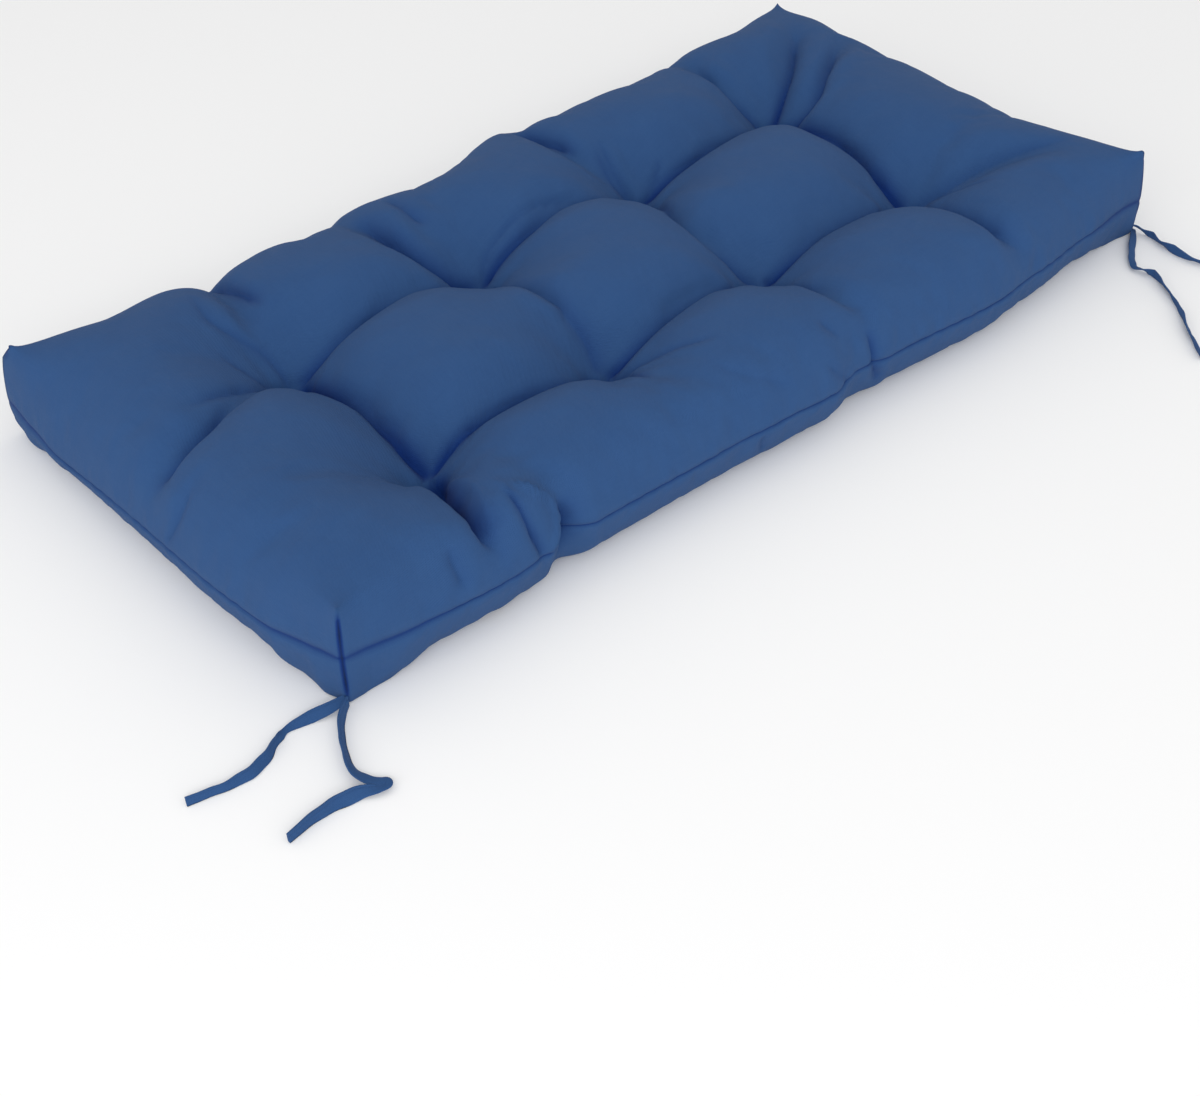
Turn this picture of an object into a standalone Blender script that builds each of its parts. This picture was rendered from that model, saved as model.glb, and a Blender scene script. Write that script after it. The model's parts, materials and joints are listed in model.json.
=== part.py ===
"""Tufted garden bench cushion with corner ties, lying on its back.

The cover is two panels of cloth joined by one seam at mid-height of the sides, with a short
upright dart at each corner. It is stuffed, and tufted through in two rows of four. The near and
the right corner each carry a pair of ties. Metres, +Z up, +X along the length. The tables below are
laid out from the middle of the sewn corners; the finished object is then moved so that its origin
is under the middle of the filled cushion, on the surface that it lies on.
"""

import math

import bmesh
import bpy
import numpy as np

# ---------------------------------------------------------------- driving sizes

CROWN_HEIGHT = 0.109        # top of the pillows between the tufts
TUFT_TOP = 0.047            # where the upper panel is pinched by a tuft
TUFT_BOTTOM = 0.027         # where the lower panel is pinched
EDGE_ROUND = 0.044          # how far in from the seam the upper sides round over, at mid-side
UNDER_ROUND = 0.024         # how far in from the seam the lower sides curl under
EDGE_LEAN = math.radians(35)    # slope left where a side face ends and the top begins
CORNER_ROUND = 0.002        # the same roundings where the sides meet at a corner
CORNER_REACH = 0.110        # length over which a rounded side sharpens into its corner
DOME_REACH = 0.120          # how far in from the seam the crown is reached
SEAM_GROOVE = 0.0025        # depth of the seam's channel
SEAM_CUT = 0.08             # its half width, as a share of the side's half height
SEAM_REACH = 0.040          # how far in from a side its seam height carries
RIM_SPREAD = 4              # how fast a side's bulge fades across the panel
SIDE_PULL = 0.5             # how much of a fold's depth draws the sides in
PULL_LIMIT = 0.85           # a fold never draws a side closer to its seam than this share
FLAT_BELOW = 0.0012         # the underside is pressed flat where it comes this close to the floor
MIDDLE_X = -0.009           # middle of the filled cushion, from the middle of its corners
MIDDLE_Y = -0.002

# The corners: x and y in plan, height of the top of the dart, outward swell at mid-height
CORNERS = {
    "near": (-0.500, -0.240, 0.095, 0.002),
    "right": (0.500, -0.240, 0.095, 0.004),
    "far": (0.481, 0.247, 0.102, 0.002),
    "left": (-0.500, 0.240, 0.095, 0.012),
}
SWELL_REACH = 0.060         # how far along a side a corner's swell carries
DIAGONAL_SHARE = math.sqrt(0.5)     # of a corner's swell along each axis
HALF_LENGTH = CORNERS["right"][0]
HALF_WIDTH = -CORNERS["near"][1]

# The sides: their two corners, which way they face, and which way they run
EDGES = {
    "front": {"first": "near", "second": "right", "out_x": 0.0, "out_y": -1.0, "runs_along_y": False},
    "back": {"first": "left", "second": "far", "out_x": 0.0, "out_y": 1.0, "runs_along_y": False},
    "left": {"first": "near", "second": "left", "out_x": -1.0, "out_y": 0.0, "runs_along_y": True},
    "right": {"first": "right", "second": "far", "out_x": 1.0, "out_y": 0.0, "runs_along_y": True},
}

# Each side: distance along it, outward bulge at the seam, height of the seam
SIDES = {
    "front": (
        (-0.500, 0.000, 0.048),
        (-0.440, 0.010, 0.045),
        (-0.345, 0.015, 0.043),
        (-0.302, 0.011, 0.043),
        (-0.280, 0.001, 0.047),
        (-0.250, 0.011, 0.045),
        (-0.100, 0.014, 0.044),
        (-0.045, 0.019, 0.045),
        (0.020, 0.022, 0.043),
        (0.062, 0.014, 0.046),
        (0.100, 0.019, 0.045),
        (0.240, 0.027, 0.043),
        (0.310, 0.021, 0.043),
        (0.400, 0.012, 0.042),
        (0.500, 0.000, 0.037),
    ),
    "back": (
        (-0.500, 0.000, 0.034),
        (-0.430, 0.004, 0.042),
        (-0.360, 0.008, 0.045),
        (-0.310, -0.007, 0.045),
        (-0.240, 0.002, 0.045),
        (-0.190, -0.007, 0.045),
        (-0.140, 0.003, 0.045),
        (-0.050, -0.005, 0.045),
        (0.062, 0.019, 0.045),
        (0.092, 0.010, 0.046),
        (0.190, 0.010, 0.045),
        (0.245, 0.004, 0.045),
        (0.350, 0.014, 0.046),
        (0.430, 0.009, 0.047),
        (0.481, 0.000, 0.050),
    ),
    "left": (
        (-0.240, 0.000, 0.048),
        (-0.212, 0.010, 0.046),
        (-0.165, 0.020, 0.044),
        (-0.085, 0.023, 0.043),
        (0.040, 0.019, 0.037),
        (0.150, 0.015, 0.028),
        (0.205, 0.010, 0.028),
        (0.240, 0.000, 0.034),
    ),
    "right": (
        (-0.240, 0.000, 0.037),
        (-0.205, 0.005, 0.040),
        (-0.150, 0.005, 0.044),
        (-0.105, -0.001, 0.045),
        (-0.030, 0.008, 0.045),
        (0.060, 0.016, 0.045),
        (0.180, 0.021, 0.046),
        (0.247, 0.000, 0.050),
    ),
}

# The tufts: name, x, y
TUFTS = {
    "back_1": (-0.322, 0.069),
    "back_2": (-0.106, 0.074),
    "back_3": (0.109, 0.082),
    "back_4": (0.314, 0.095),
    "front_1": (-0.322, -0.115),
    "front_2": (-0.117, -0.110),
    "front_3": (0.088, -0.105),
    "front_4": (0.293, -0.105),
}
WALL_SLOPE = 0.90           # rise over run of a valley's walls
TUFT_SLOPE = 0.80           # the same around a tuft
LEAST_WIDTH = 0.030         # half width of the shallowest valley

# Valleys from tuft to tuft: from, to, sideways bow, depth at mid-way
VALLEYS = (
    ("back_1", "back_2", 0.000, 0.031),
    ("back_2", "back_3", 0.004, 0.026),
    ("back_3", "back_4", -0.004, 0.041),
    ("front_1", "front_2", 0.000, 0.037),
    ("front_2", "front_3", 0.000, 0.037),
    ("front_3", "front_4", 0.000, 0.044),
    ("back_1", "front_1", 0.006, 0.049),
    ("back_2", "front_2", 0.004, 0.016),
    ("back_3", "front_3", -0.022, 0.030),
    ("back_4", "front_4", 0.008, 0.042),
)
VALLEY_STEPS = 6            # straight pieces in a valley's bow
VALLEY_END_SHARE = 0.85     # share of a tuft's depth that a valley starts with
VALLEY_END_REACH = 0.040    # how far a tuft's depth carries along a valley

# Folds that run out from the tufts: depths at the start and the end, least half width, route in plan
FOLDS = {
    "wedge_front_1": (0.060, 0.012, 0.030, (
        (-0.322, -0.115), (-0.338, -0.164), (-0.348, -0.204), (-0.350, -0.238))),
    "front_of_front_2": (0.045, 0.004, 0.030, (
        (-0.117, -0.110), (-0.120, -0.148), (-0.124, -0.183))),
    "front_of_front_3": (0.050, 0.005, 0.030, (
        (0.088, -0.105), (0.085, -0.150), (0.083, -0.196), (0.085, -0.235))),
    "front_of_front_4": (0.055, 0.012, 0.030, (
        (0.293, -0.105), (0.286, -0.145), (0.281, -0.196), (0.280, -0.240))),
    "front_4_to_right": (0.050, 0.006, 0.035, (
        (0.293, -0.105), (0.324, -0.132), (0.368, -0.147), (0.445, -0.189))),
    "back_1_to_left": (0.045, 0.012, 0.035, (
        (-0.322, 0.069), (-0.377, 0.052), (-0.439, 0.013), (-0.491, 0.002))),
    "back_1_to_back": (0.040, 0.008, 0.035, (
        (-0.322, 0.069), (-0.317, 0.140), (-0.311, 0.224))),
    "back_2_to_back": (0.050, 0.010, 0.040, (
        (-0.106, 0.074), (-0.137, 0.102), (-0.154, 0.140), (-0.159, 0.201))),
    "back_3_to_back": (0.045, 0.008, 0.035, (
        (0.109, 0.082), (0.093, 0.120), (0.077, 0.156), (0.074, 0.224))),
    "back_4_to_back": (0.045, 0.006, 0.035, (
        (0.314, 0.095), (0.306, 0.130), (0.299, 0.179), (0.299, 0.229))),
    "back_4_to_far": (0.045, 0.006, 0.030, (
        (0.314, 0.095), (0.365, 0.123), (0.425, 0.165), (0.465, 0.225))),
    "back_4_to_right": (0.045, 0.004, 0.030, (
        (0.314, 0.095), (0.333, 0.082), (0.358, 0.077), (0.444, 0.122))),
}
SOFT_MAX = 6                # how softly meeting folds blend; higher is crisper
UNDER_SHARE = 0.45          # share of a valley's depth that shows on the underside

# Where the cover is divided: cells along each way, and closer cells near the tufts and pleats
CELLS_ALONG = 62
CELLS_ACROSS = 32
SIDE_CUTS = (-0.72, -0.42, -0.12, 0.0, 0.12, 0.42, 0.72)    # shares of a side's half height
CLOSE_ALONG = (-0.322, -0.285, -0.112, 0.072, 0.098, 0.303)
CLOSE_ACROSS = (-0.110, 0.080)
CLOSE_REACH = 0.030         # how far around such a place the cells are closer
CLOSE_GAIN = 1.2            # how much closer they are there
DENSITY_SAMPLES = 801       # places where the cells' closeness is worked out
ON_FACE = 0.999             # a block point this far out lies on a face of the block

# Ties: folded and stitched strips
TIE_HALF_WIDTH = 0.0050
TIE_EDGE = 0.0008           # half the thickness of a strip
TIE_LIFT = 0.0003           # clear air under a strip
TIE_ROUNDING = 1            # cuts around each edge of a strip
STEPS_PER_ROW = 2           # points along a strip from one row of its route to the next

# Each tie: route on the floor as x, y, height above lying flat, twist in degrees, relative width
TIES = {
    "tie_near_left": (
        (-0.5012, -0.2402, 0.0045, 80, 0.70),
        (-0.5125, -0.2385, 0.0030, 65, 0.75),
        (-0.5255, -0.2350, 0.0010, 45, 0.80),
        (-0.5380, -0.2315, 0.0000, 30, 0.80),
        (-0.5520, -0.2310, 0.0000, 50, 0.50),
        (-0.5615, -0.2355, 0.0000, 10, 1.10),
        (-0.5750, -0.2433, 0.0000, 25, 0.95),
        (-0.5885, -0.2485, 0.0000, 45, 0.75),
        (-0.6035, -0.2495, 0.0000, 35, 0.75),
        (-0.6160, -0.2480, 0.0000, 20, 0.80),
        (-0.6285, -0.2450, 0.0000, 15, 0.95),
        (-0.6450, -0.2410, 0.0000, 25, 0.85),
    ),
    "tie_near_front": (
        (-0.4997, -0.2396, 0.0015, 0, 0.95),
        (-0.5086, -0.2460, 0.0000, 8, 1.00),
        (-0.5185, -0.2565, 0.0000, 15, 0.95),
        (-0.5285, -0.2725, 0.0000, 30, 0.80),
        (-0.5365, -0.2895, 0.0000, 35, 0.80),
        (-0.5400, -0.3035, 0.0000, 55, 0.85),
        (-0.5375, -0.3150, 0.0000, 80, 0.90),
        (-0.5310, -0.3225, 0.0000, 90, 0.95),
        (-0.5265, -0.3262, 0.0000, 90, 1.00),
        (-0.5285, -0.3295, 0.0000, 90, 1.00),
        (-0.5360, -0.3270, 0.0000, 85, 0.90),
        (-0.5450, -0.3220, 0.0000, 60, 0.85),
        (-0.5585, -0.3185, 0.0000, 30, 1.00),
        (-0.5760, -0.3170, 0.0000, 10, 1.20),
        (-0.5920, -0.3175, 0.0000, 5, 1.40),
        (-0.6080, -0.3195, 0.0000, 5, 1.30),
    ),
    "tie_right_side": (
        (0.5023, -0.2420, 0.0040, 80, 0.60),
        (0.5042, -0.2505, 0.0015, 60, 0.60),
        (0.5045, -0.2610, 0.0000, 10, 1.15),
        (0.4990, -0.2760, 0.0000, 40, 0.75),
        (0.4960, -0.2900, 0.0000, 5, 1.30),
        (0.4945, -0.3040, 0.0000, 15, 1.15),
        (0.4960, -0.3180, 0.0000, 40, 0.80),
        (0.5000, -0.3340, 0.0000, 20, 0.95),
        (0.5050, -0.3510, 0.0000, 10, 1.05),
        (0.5090, -0.3690, 0.0000, 30, 0.85),
        (0.5110, -0.3870, 0.0000, 15, 1.00),
        (0.5115, -0.4050, 0.0000, 10, 1.05),
    ),
    "tie_right_front": (
        (0.4980, -0.2419, 0.0000, 80, 0.65),
        (0.4880, -0.2490, 0.0000, 60, 0.70),
        (0.4740, -0.2575, 0.0000, 50, 0.75),
        (0.4600, -0.2670, 0.0000, 55, 0.75),
        (0.4475, -0.2765, 0.0000, 80, 0.70),
        (0.4410, -0.2840, 0.0000, 90, 0.60),
        (0.4425, -0.2925, 0.0000, 60, 0.75),
        (0.4440, -0.3035, 0.0000, 10, 1.15),
        (0.4390, -0.3150, 0.0000, 20, 1.10),
        (0.4300, -0.3300, 0.0000, 35, 0.90),
        (0.4155, -0.3500, 0.0000, 10, 1.10),
        (0.3975, -0.3715, 0.0000, 10, 1.20),
        (0.3830, -0.3865, 0.0000, 35, 0.85),
        (0.3690, -0.4030, 0.0000, 10, 1.20),
        (0.3560, -0.4190, 0.0000, 15, 1.10),
    ),
}

CLOTH_COLOUR = (0.040, 0.092, 0.230, 1.0)
CLOTH_ROUGHNESS = 0.85


# ---------------------------------------------------------------- helpers


def ease(t):
    """Smooth step from 0 to 1."""
    t = np.clip(t, 0.0, 1.0)
    return t * t * (3.0 - 2.0 * t)


def from_rows(rows, along, column):
    """Value of a column at a place along a side, eased from row to row."""
    places = np.array([row[0] for row in rows])
    values = np.array([row[column] for row in rows])
    index = np.clip(np.searchsorted(places, along) - 1, 0, len(rows) - 2)
    start = places[index]
    share = ease((along - start) / (places[index + 1] - start))
    return values[index] + (values[index + 1] - values[index]) * share


def distance_to_route(x, y, route):
    """Distance from each point to a polyline, and how far along it the nearest place is, 0 to 1."""
    route = np.array(route)
    lengths = np.linalg.norm(np.diff(route, axis=0), axis=1)
    nearest = np.full(x.shape, np.inf)
    share = np.zeros(x.shape)
    gone = 0.0
    for start, end, length in zip(route[:-1], route[1:], lengths):
        way = (end - start) / length
        t = np.clip((x - start[0]) * way[0] + (y - start[1]) * way[1], 0.0, length)
        away = np.hypot(x - start[0] - t * way[0], y - start[1] - t * way[1])
        closer = away < nearest
        nearest = np.where(closer, away, nearest)
        share = np.where(closer, (gone + t) / lengths.sum(), share)
        gone += length
    return nearest, share


def stations(start, end, cells, centres):
    """Places of the cuts between start and end, closer together near the given centres."""
    fine = np.linspace(start, end, DENSITY_SAMPLES)
    density = np.ones_like(fine)
    for centre in centres:
        density += CLOSE_GAIN * np.exp(-(((fine - centre) / CLOSE_REACH) ** 2))
    total = np.concatenate(([0.0], np.cumsum((density[1:] + density[:-1]) / 2.0)))
    return np.interp(np.linspace(0.0, total[-1], cells + 1)[1:-1], total, fine)


# ---------------------------------------------------------------- the cushion's form


def side_data(name, along):
    """Seam line and roundness of one side, at places along it."""
    rows = SIDES[name]
    from_end = np.minimum(along - rows[0][0], rows[-1][0] - along)
    roundness = ease(from_end / CORNER_REACH)
    return {
        "bulge": from_rows(rows, along, 1),
        "seam": from_rows(rows, along, 2),
        "upper_round": CORNER_ROUND + EDGE_ROUND * roundness,
        "lower_round": CORNER_ROUND + UNDER_ROUND * roundness,
        "lean": EDGE_LEAN * roundness,
    }


def between_corners(first, second, t, column):
    """A corner's value carried along the straight line to the next corner, t from -1 to 1."""
    share = (np.asarray(t) + 1.0) / 2.0
    return CORNERS[first][column] * (1.0 - share) + CORNERS[second][column] * share


def across_panel(u, v, column):
    """The corners' values carried across the whole panel, u and v from -1 to 1."""
    near = between_corners("near", "right", u, column)
    far = between_corners("left", "far", u, column)
    share = (v + 1.0) / 2.0
    return near * (1.0 - share) + far * share


def plan_of_panel(u, v, top):
    """Plan position of a point on the top or bottom panel."""
    x = across_panel(u, v, 0)
    y = across_panel(u, v, 1)
    shift_x = np.zeros_like(x)
    shift_y = np.zeros_like(y)
    for name, edge in EDGES.items():
        side = side_data(name, y if edge["runs_along_y"] else x)
        rounding = side["upper_round"] if top else side["lower_round"]
        inset = rounding * (1.0 - np.sin(side["lean"]))
        closeness = (1.0 + edge["out_x"] * u + edge["out_y"] * v) / 2.0
        push = (side["bulge"] - inset) * np.clip(closeness, 0.0, 1.0) ** RIM_SPREAD
        shift_x += edge["out_x"] * push
        shift_y += edge["out_y"] * push
    return x + shift_x, y + shift_y


def inward_distance(name, x, y):
    """Distance in from one side's seam, and that side's data."""
    edge = EDGES[name]
    along, across, first_column = (y, x, 1) if edge["runs_along_y"] else (x, y, 0)
    side = side_data(name, along)
    start = CORNERS[edge["first"]][first_column]
    end = CORNERS[edge["second"]][first_column]
    t = np.clip(2.0 * (along - start) / (end - start) - 1.0, -1.0, 1.0)
    line = between_corners(edge["first"], edge["second"], t, 1 - first_column)
    out = edge["out_x"] + edge["out_y"]
    return out * (line - across) + side["bulge"], side


def valley_route(start, end, bow):
    """A valley's bowed way from one tuft to the next, and its length."""
    start_x, start_y = TUFTS[start]
    end_x, end_y = TUFTS[end]
    length = math.hypot(end_x - start_x, end_y - start_y)
    bow_x = bow * abs(end_y - start_y) / length
    bow_y = bow * abs(end_x - start_x) / length
    route = []
    for step in range(VALLEY_STEPS + 1):
        t = step / VALLEY_STEPS
        swing = math.sin(math.pi * t)
        route.append((
            start_x + (end_x - start_x) * t + bow_x * swing,
            start_y + (end_y - start_y) * t + bow_y * swing,
        ))
    return route, length


def trough(depth, away, least_width, slope):
    """Depth at a distance from a fold's line; its walls keep one slope, so a deeper fold is wider."""
    half_width = np.maximum(depth * math.pi / 2 / slope, least_width)
    return depth * (1.0 - np.sin(np.clip(away / half_width, 0.0, 1.0) * math.pi / 2))


def fold_depth(x, y, tuft_depth, share_of_depth):
    """Depth of the tufts, valleys and folds below the unpinched panel."""
    troughs = []
    for tuft_x, tuft_y in TUFTS.values():
        away = np.hypot(x - tuft_x, y - tuft_y)
        troughs.append(trough(tuft_depth, away, LEAST_WIDTH, TUFT_SLOPE))
    for start, end, bow, middle in VALLEYS:
        route, length = valley_route(start, end, bow)
        away, share = distance_to_route(x, y, route)
        from_end = np.minimum(share, 1.0 - share) * length
        shallow = middle * share_of_depth
        deep = VALLEY_END_SHARE * tuft_depth
        depth = shallow + (deep - shallow) * np.exp(-from_end / VALLEY_END_REACH)
        troughs.append(trough(depth, away, LEAST_WIDTH, WALL_SLOPE))
    for start_depth, end_depth, least_width, route in FOLDS.values():
        away, share = distance_to_route(x, y, route)
        depth = (start_depth + (end_depth - start_depth) * share) * share_of_depth
        troughs.append(trough(depth, away, least_width, WALL_SLOPE))
    total = sum(each ** SOFT_MAX for each in troughs) ** (1.0 / SOFT_MAX)
    return np.minimum(total, tuft_depth)


def shape_panel(u, v, top):
    """Position of points on the top or bottom panel."""
    x, y = plan_of_panel(u, v, top)
    rise = np.ones_like(x)
    seam = np.zeros_like(x)
    weight = np.zeros_like(x)
    nearest = np.full(x.shape, np.inf)
    lean_x = np.zeros_like(x)
    lean_y = np.zeros_like(x)
    for name, edge in EDGES.items():
        inward, side = inward_distance(name, x, y)
        rounding = side["upper_round"] if top else side["lower_round"]
        short = np.clip(1.0 - inward / rounding, 0.0, 1.0)
        rise *= np.sqrt(1.0 - short ** 2)
        share = np.exp(-inward / SEAM_REACH)
        seam += side["seam"] * share
        weight += share
        nearest = np.minimum(nearest, inward)
        lean_x += edge["out_x"] * short
        lean_y += edge["out_y"] * short
    seam = seam / weight
    if not top:
        depth = fold_depth(x, y, TUFT_BOTTOM, UNDER_SHARE)
        z = np.maximum(seam * (1.0 - rise), depth * rise)
        return x, y, np.where(z < FLAT_BELOW, 0.0, z)
    dome = (CROWN_HEIGHT - CORNERS["near"][2]) * ease(nearest / DOME_REACH)
    height = seam + (across_panel(u, v, 2) - seam) * rise + dome
    depth = fold_depth(x, y, CROWN_HEIGHT - TUFT_TOP, 1.0)
    pull = np.minimum(depth, PULL_LIMIT * (height - seam))
    upright = np.sqrt(np.clip(1.0 - lean_x ** 2 - lean_y ** 2, 0.0, 1.0))
    return x - pull * lean_x * SIDE_PULL, y - pull * lean_y * SIDE_PULL, height - pull * upright


def shape_side(name, t, w):
    """Position of points on a side face, t along it and w up it, both from -1 to 1."""
    edge = EDGES[name]
    first, second = edge["first"], edge["second"]
    x = between_corners(first, second, t, 0)
    y = between_corners(first, second, t, 1)
    rim = between_corners(first, second, t, 2)
    along = y if edge["runs_along_y"] else x
    side = side_data(name, along)
    above = w >= 0.0
    angle = math.pi / 2 - np.abs(w) * (math.pi / 2 - side["lean"])
    rounding = np.where(above, side["upper_round"], side["lower_round"])
    groove = SEAM_GROOVE * np.exp(-((w / SEAM_CUT) ** 2)) * side["lean"] / EDGE_LEAN
    outward = side["bulge"] - rounding * (1.0 - np.sin(angle)) - groove
    upper = side["seam"] + (rim - side["seam"]) * np.cos(angle)
    lower = side["seam"] * (1.0 - np.cos(angle))
    z = np.where(above, upper, lower)
    x = x + edge["out_x"] * outward
    y = y + edge["out_y"] * outward
    for corner in (first, second):
        corner_x, corner_y, _, swell = CORNERS[corner]
        away = np.abs(along - (corner_y if edge["runs_along_y"] else corner_x))
        push = swell * np.exp(-away / SWELL_REACH) * np.sin(angle) * DIAGONAL_SHARE
        x = x + math.copysign(1.0, corner_x) * push
        y = y + math.copysign(1.0, corner_y) * push
    depth = fold_depth(x, y, CROWN_HEIGHT - TUFT_TOP, 1.0) * (w + 1.0) / 2.0
    x = x - edge["out_x"] * depth * SIDE_PULL * np.sin(angle)
    y = y - edge["out_y"] * depth * SIDE_PULL * np.sin(angle)
    drop = np.minimum(depth * np.cos(angle), PULL_LIMIT * (z - side["seam"]))
    return x, y, np.where(above, z - drop, z)


def cut_block():
    """A block cut into cells, its corners at -1 and 1, ready to be shaped."""
    mesh = bmesh.new()
    bmesh.ops.create_cube(mesh, size=2.0)
    along = stations(-HALF_LENGTH, HALF_LENGTH, CELLS_ALONG, CLOSE_ALONG) / HALF_LENGTH
    across = stations(-HALF_WIDTH, HALF_WIDTH, CELLS_ACROSS, CLOSE_ACROSS) / HALF_WIDTH
    cuts = [((1.0, 0.0, 0.0), place) for place in along]
    cuts += [((0.0, 1.0, 0.0), place) for place in across]
    cuts += [((0.0, 0.0, 1.0), place) for place in SIDE_CUTS]
    for normal, place in cuts:
        everything = mesh.verts[:] + mesh.edges[:] + mesh.faces[:]
        point = [component * place for component in normal]
        bmesh.ops.bisect_plane(mesh, geom=everything, plane_co=point, plane_no=normal)
    return mesh


def shape_cushion(block):
    """Move the block's points to the cushion's form."""
    block.verts.ensure_lookup_table()
    grid = np.array([vert.co[:] for vert in block.verts], dtype=float)
    u, v, w = grid.T
    place = np.zeros_like(grid)
    on_top = w > ON_FACE
    under = w < -ON_FACE
    for chosen, top in ((on_top, True), (under, False)):
        place[chosen] = np.stack(shape_panel(u[chosen], v[chosen], top), axis=1)
    on_side = ~(on_top | under)
    faces = {
        "front": on_side & (v < -ON_FACE),
        "back": on_side & (v > ON_FACE),
        "left": on_side & (u < -ON_FACE),
        "right": on_side & (u > ON_FACE),
    }
    for name, chosen in faces.items():
        along = v[chosen] if EDGES[name]["runs_along_y"] else u[chosen]
        place[chosen] = np.stack(shape_side(name, along, w[chosen]), axis=1)
    for vert, point in zip(block.verts, place):
        vert.co = point


# ---------------------------------------------------------------- the ties


def smooth_route(rows):
    """Points along a smooth curve through the rows, with the rows' other values."""
    rows = np.array(rows, dtype=float)
    padded = np.vstack((2 * rows[0] - rows[1], rows, 2 * rows[-1] - rows[-2]))
    points = []
    for index in range(1, len(padded) - 2):
        before, start, end, after = padded[index - 1:index + 3]
        for step in range(STEPS_PER_ROW):
            t = step / STEPS_PER_ROW
            even = 2 * start + (end - before) * t + (2 * before - 5 * start + 4 * end - after) * t ** 2
            points.append(0.5 * (even + (3 * start - before - 3 * end + after) * t ** 3))
    points.append(rows[-1])
    return points


def add_tie(name, rows, material, collection):
    """A strip that lies on the floor, turned as its twist says."""
    points = smooth_route(rows)
    curve = bpy.data.curves.new(name, "CURVE")
    curve.dimensions = "3D"
    curve.twist_mode = "Z_UP"
    curve.extrude = TIE_HALF_WIDTH
    curve.bevel_depth = TIE_EDGE
    curve.bevel_resolution = TIE_ROUNDING
    curve.use_fill_caps = True
    spline = curve.splines.new("POLY")
    spline.points.add(len(points) - 1)
    for point, (x, y, lift, twist, width) in zip(spline.points, points):
        turn = math.radians(twist)
        half_height = TIE_EDGE * width + TIE_HALF_WIDTH * width * abs(math.sin(turn))
        point.co = (x, y, TIE_LIFT + lift + half_height, 1.0)
        point.tilt = turn + math.pi / 2
        point.radius = width
    curve.materials.append(material)
    place_object(name, curve, collection)


# ---------------------------------------------------------------- the model


def cloth_material(name):
    """Plain blue woven cloth."""
    material = bpy.data.materials.new(name)
    material.use_nodes = True
    shader = material.node_tree.nodes["Principled BSDF"]
    shader.inputs["Base Color"].default_value = CLOTH_COLOUR
    shader.inputs["Roughness"].default_value = CLOTH_ROUGHNESS
    shader.inputs["Metallic"].default_value = 0.0
    return material


def place_object(name, data, collection):
    """Put a finished piece in the object's own frame."""
    piece = bpy.data.objects.new(name, data)
    piece.location = (-MIDDLE_X, -MIDDLE_Y, 0.0)
    collection.objects.link(piece)


def add_cushion(collection):
    """The filled cushion as one solid."""
    block = cut_block()
    shape_cushion(block)
    bmesh.ops.recalc_face_normals(block, faces=block.faces[:])
    mesh = bpy.data.meshes.new("cushion")
    block.to_mesh(mesh)
    block.free()
    mesh.materials.append(cloth_material("cushion_cloth"))
    mesh.shade_smooth()
    place_object("cushion", mesh, collection)


def main():
    """Build the cushion and its ties."""
    for old in list(bpy.data.objects):
        bpy.data.objects.remove(old, do_unlink=True)
    collection = bpy.data.collections.new("bench_cushion")
    bpy.context.scene.collection.children.link(collection)
    add_cushion(collection)
    for name, rows in TIES.items():
        add_tie(name, rows, cloth_material(name + "_cloth"), collection)


main()
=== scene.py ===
# Tufted bench cushion with corner ties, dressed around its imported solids. Metres, +Z up.
import json
import math

import bpy
import numpy as np
from mathutils import Matrix, Vector

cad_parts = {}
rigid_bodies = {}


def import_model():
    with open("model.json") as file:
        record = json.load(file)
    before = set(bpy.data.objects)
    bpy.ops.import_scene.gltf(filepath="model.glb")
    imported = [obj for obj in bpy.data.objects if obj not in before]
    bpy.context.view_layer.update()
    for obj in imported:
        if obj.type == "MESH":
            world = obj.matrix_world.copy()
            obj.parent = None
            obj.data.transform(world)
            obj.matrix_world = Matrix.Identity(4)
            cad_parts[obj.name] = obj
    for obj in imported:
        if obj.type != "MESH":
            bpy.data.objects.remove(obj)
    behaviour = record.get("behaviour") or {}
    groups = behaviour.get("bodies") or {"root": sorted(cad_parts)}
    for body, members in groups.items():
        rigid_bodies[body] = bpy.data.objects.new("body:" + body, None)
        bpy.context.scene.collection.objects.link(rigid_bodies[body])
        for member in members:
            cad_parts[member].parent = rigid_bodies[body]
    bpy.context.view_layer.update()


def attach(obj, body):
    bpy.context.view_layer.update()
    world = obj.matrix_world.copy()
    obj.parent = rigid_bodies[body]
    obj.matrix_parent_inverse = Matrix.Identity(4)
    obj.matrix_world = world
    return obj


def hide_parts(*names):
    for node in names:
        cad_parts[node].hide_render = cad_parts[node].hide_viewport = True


for old in list(bpy.data.objects):
    bpy.data.objects.remove(old, do_unlink=True)
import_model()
print("frame loaded")

# the tables are laid out from the middle of the sewn corners, as the solids' are
middle = (-0.009, -0.002)


def placed(x, y, z=0.0):
    return (x - middle[0], y - middle[1], z)


# camera: where the picture was taken from
camera = {
    "place": placed(-1.0441, -1.1322, 1.0144),
    "heading": 41.98,  # degrees from +Y towards +X
    "down": 40.02,
    "roll": -0.97,
    "lens": 57.1,
    "sensor": 36.0,
}


def addCamera():
    turn = Matrix.Rotation(math.radians(-camera["heading"]), 4, "Z")
    tip = Matrix.Rotation(math.radians(90.0 - camera["down"]), 4, "X")
    roll = Matrix.Rotation(math.radians(camera["roll"]), 4, "Z")
    bpy.ops.object.camera_add()
    eye = bpy.context.object
    eye.matrix_world = Matrix.Translation(camera["place"]) @ turn @ tip @ roll
    eye.data.lens = camera["lens"]
    eye.data.sensor_width = camera["sensor"]
    bpy.context.scene.camera = eye


addCamera()
print("camera placed")


def deselectAll():
    bpy.ops.object.select_all(action="DESELECT")


def makeActive(piece):
    deselectAll()
    piece.select_set(True)
    bpy.context.view_layer.objects.active = piece


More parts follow.
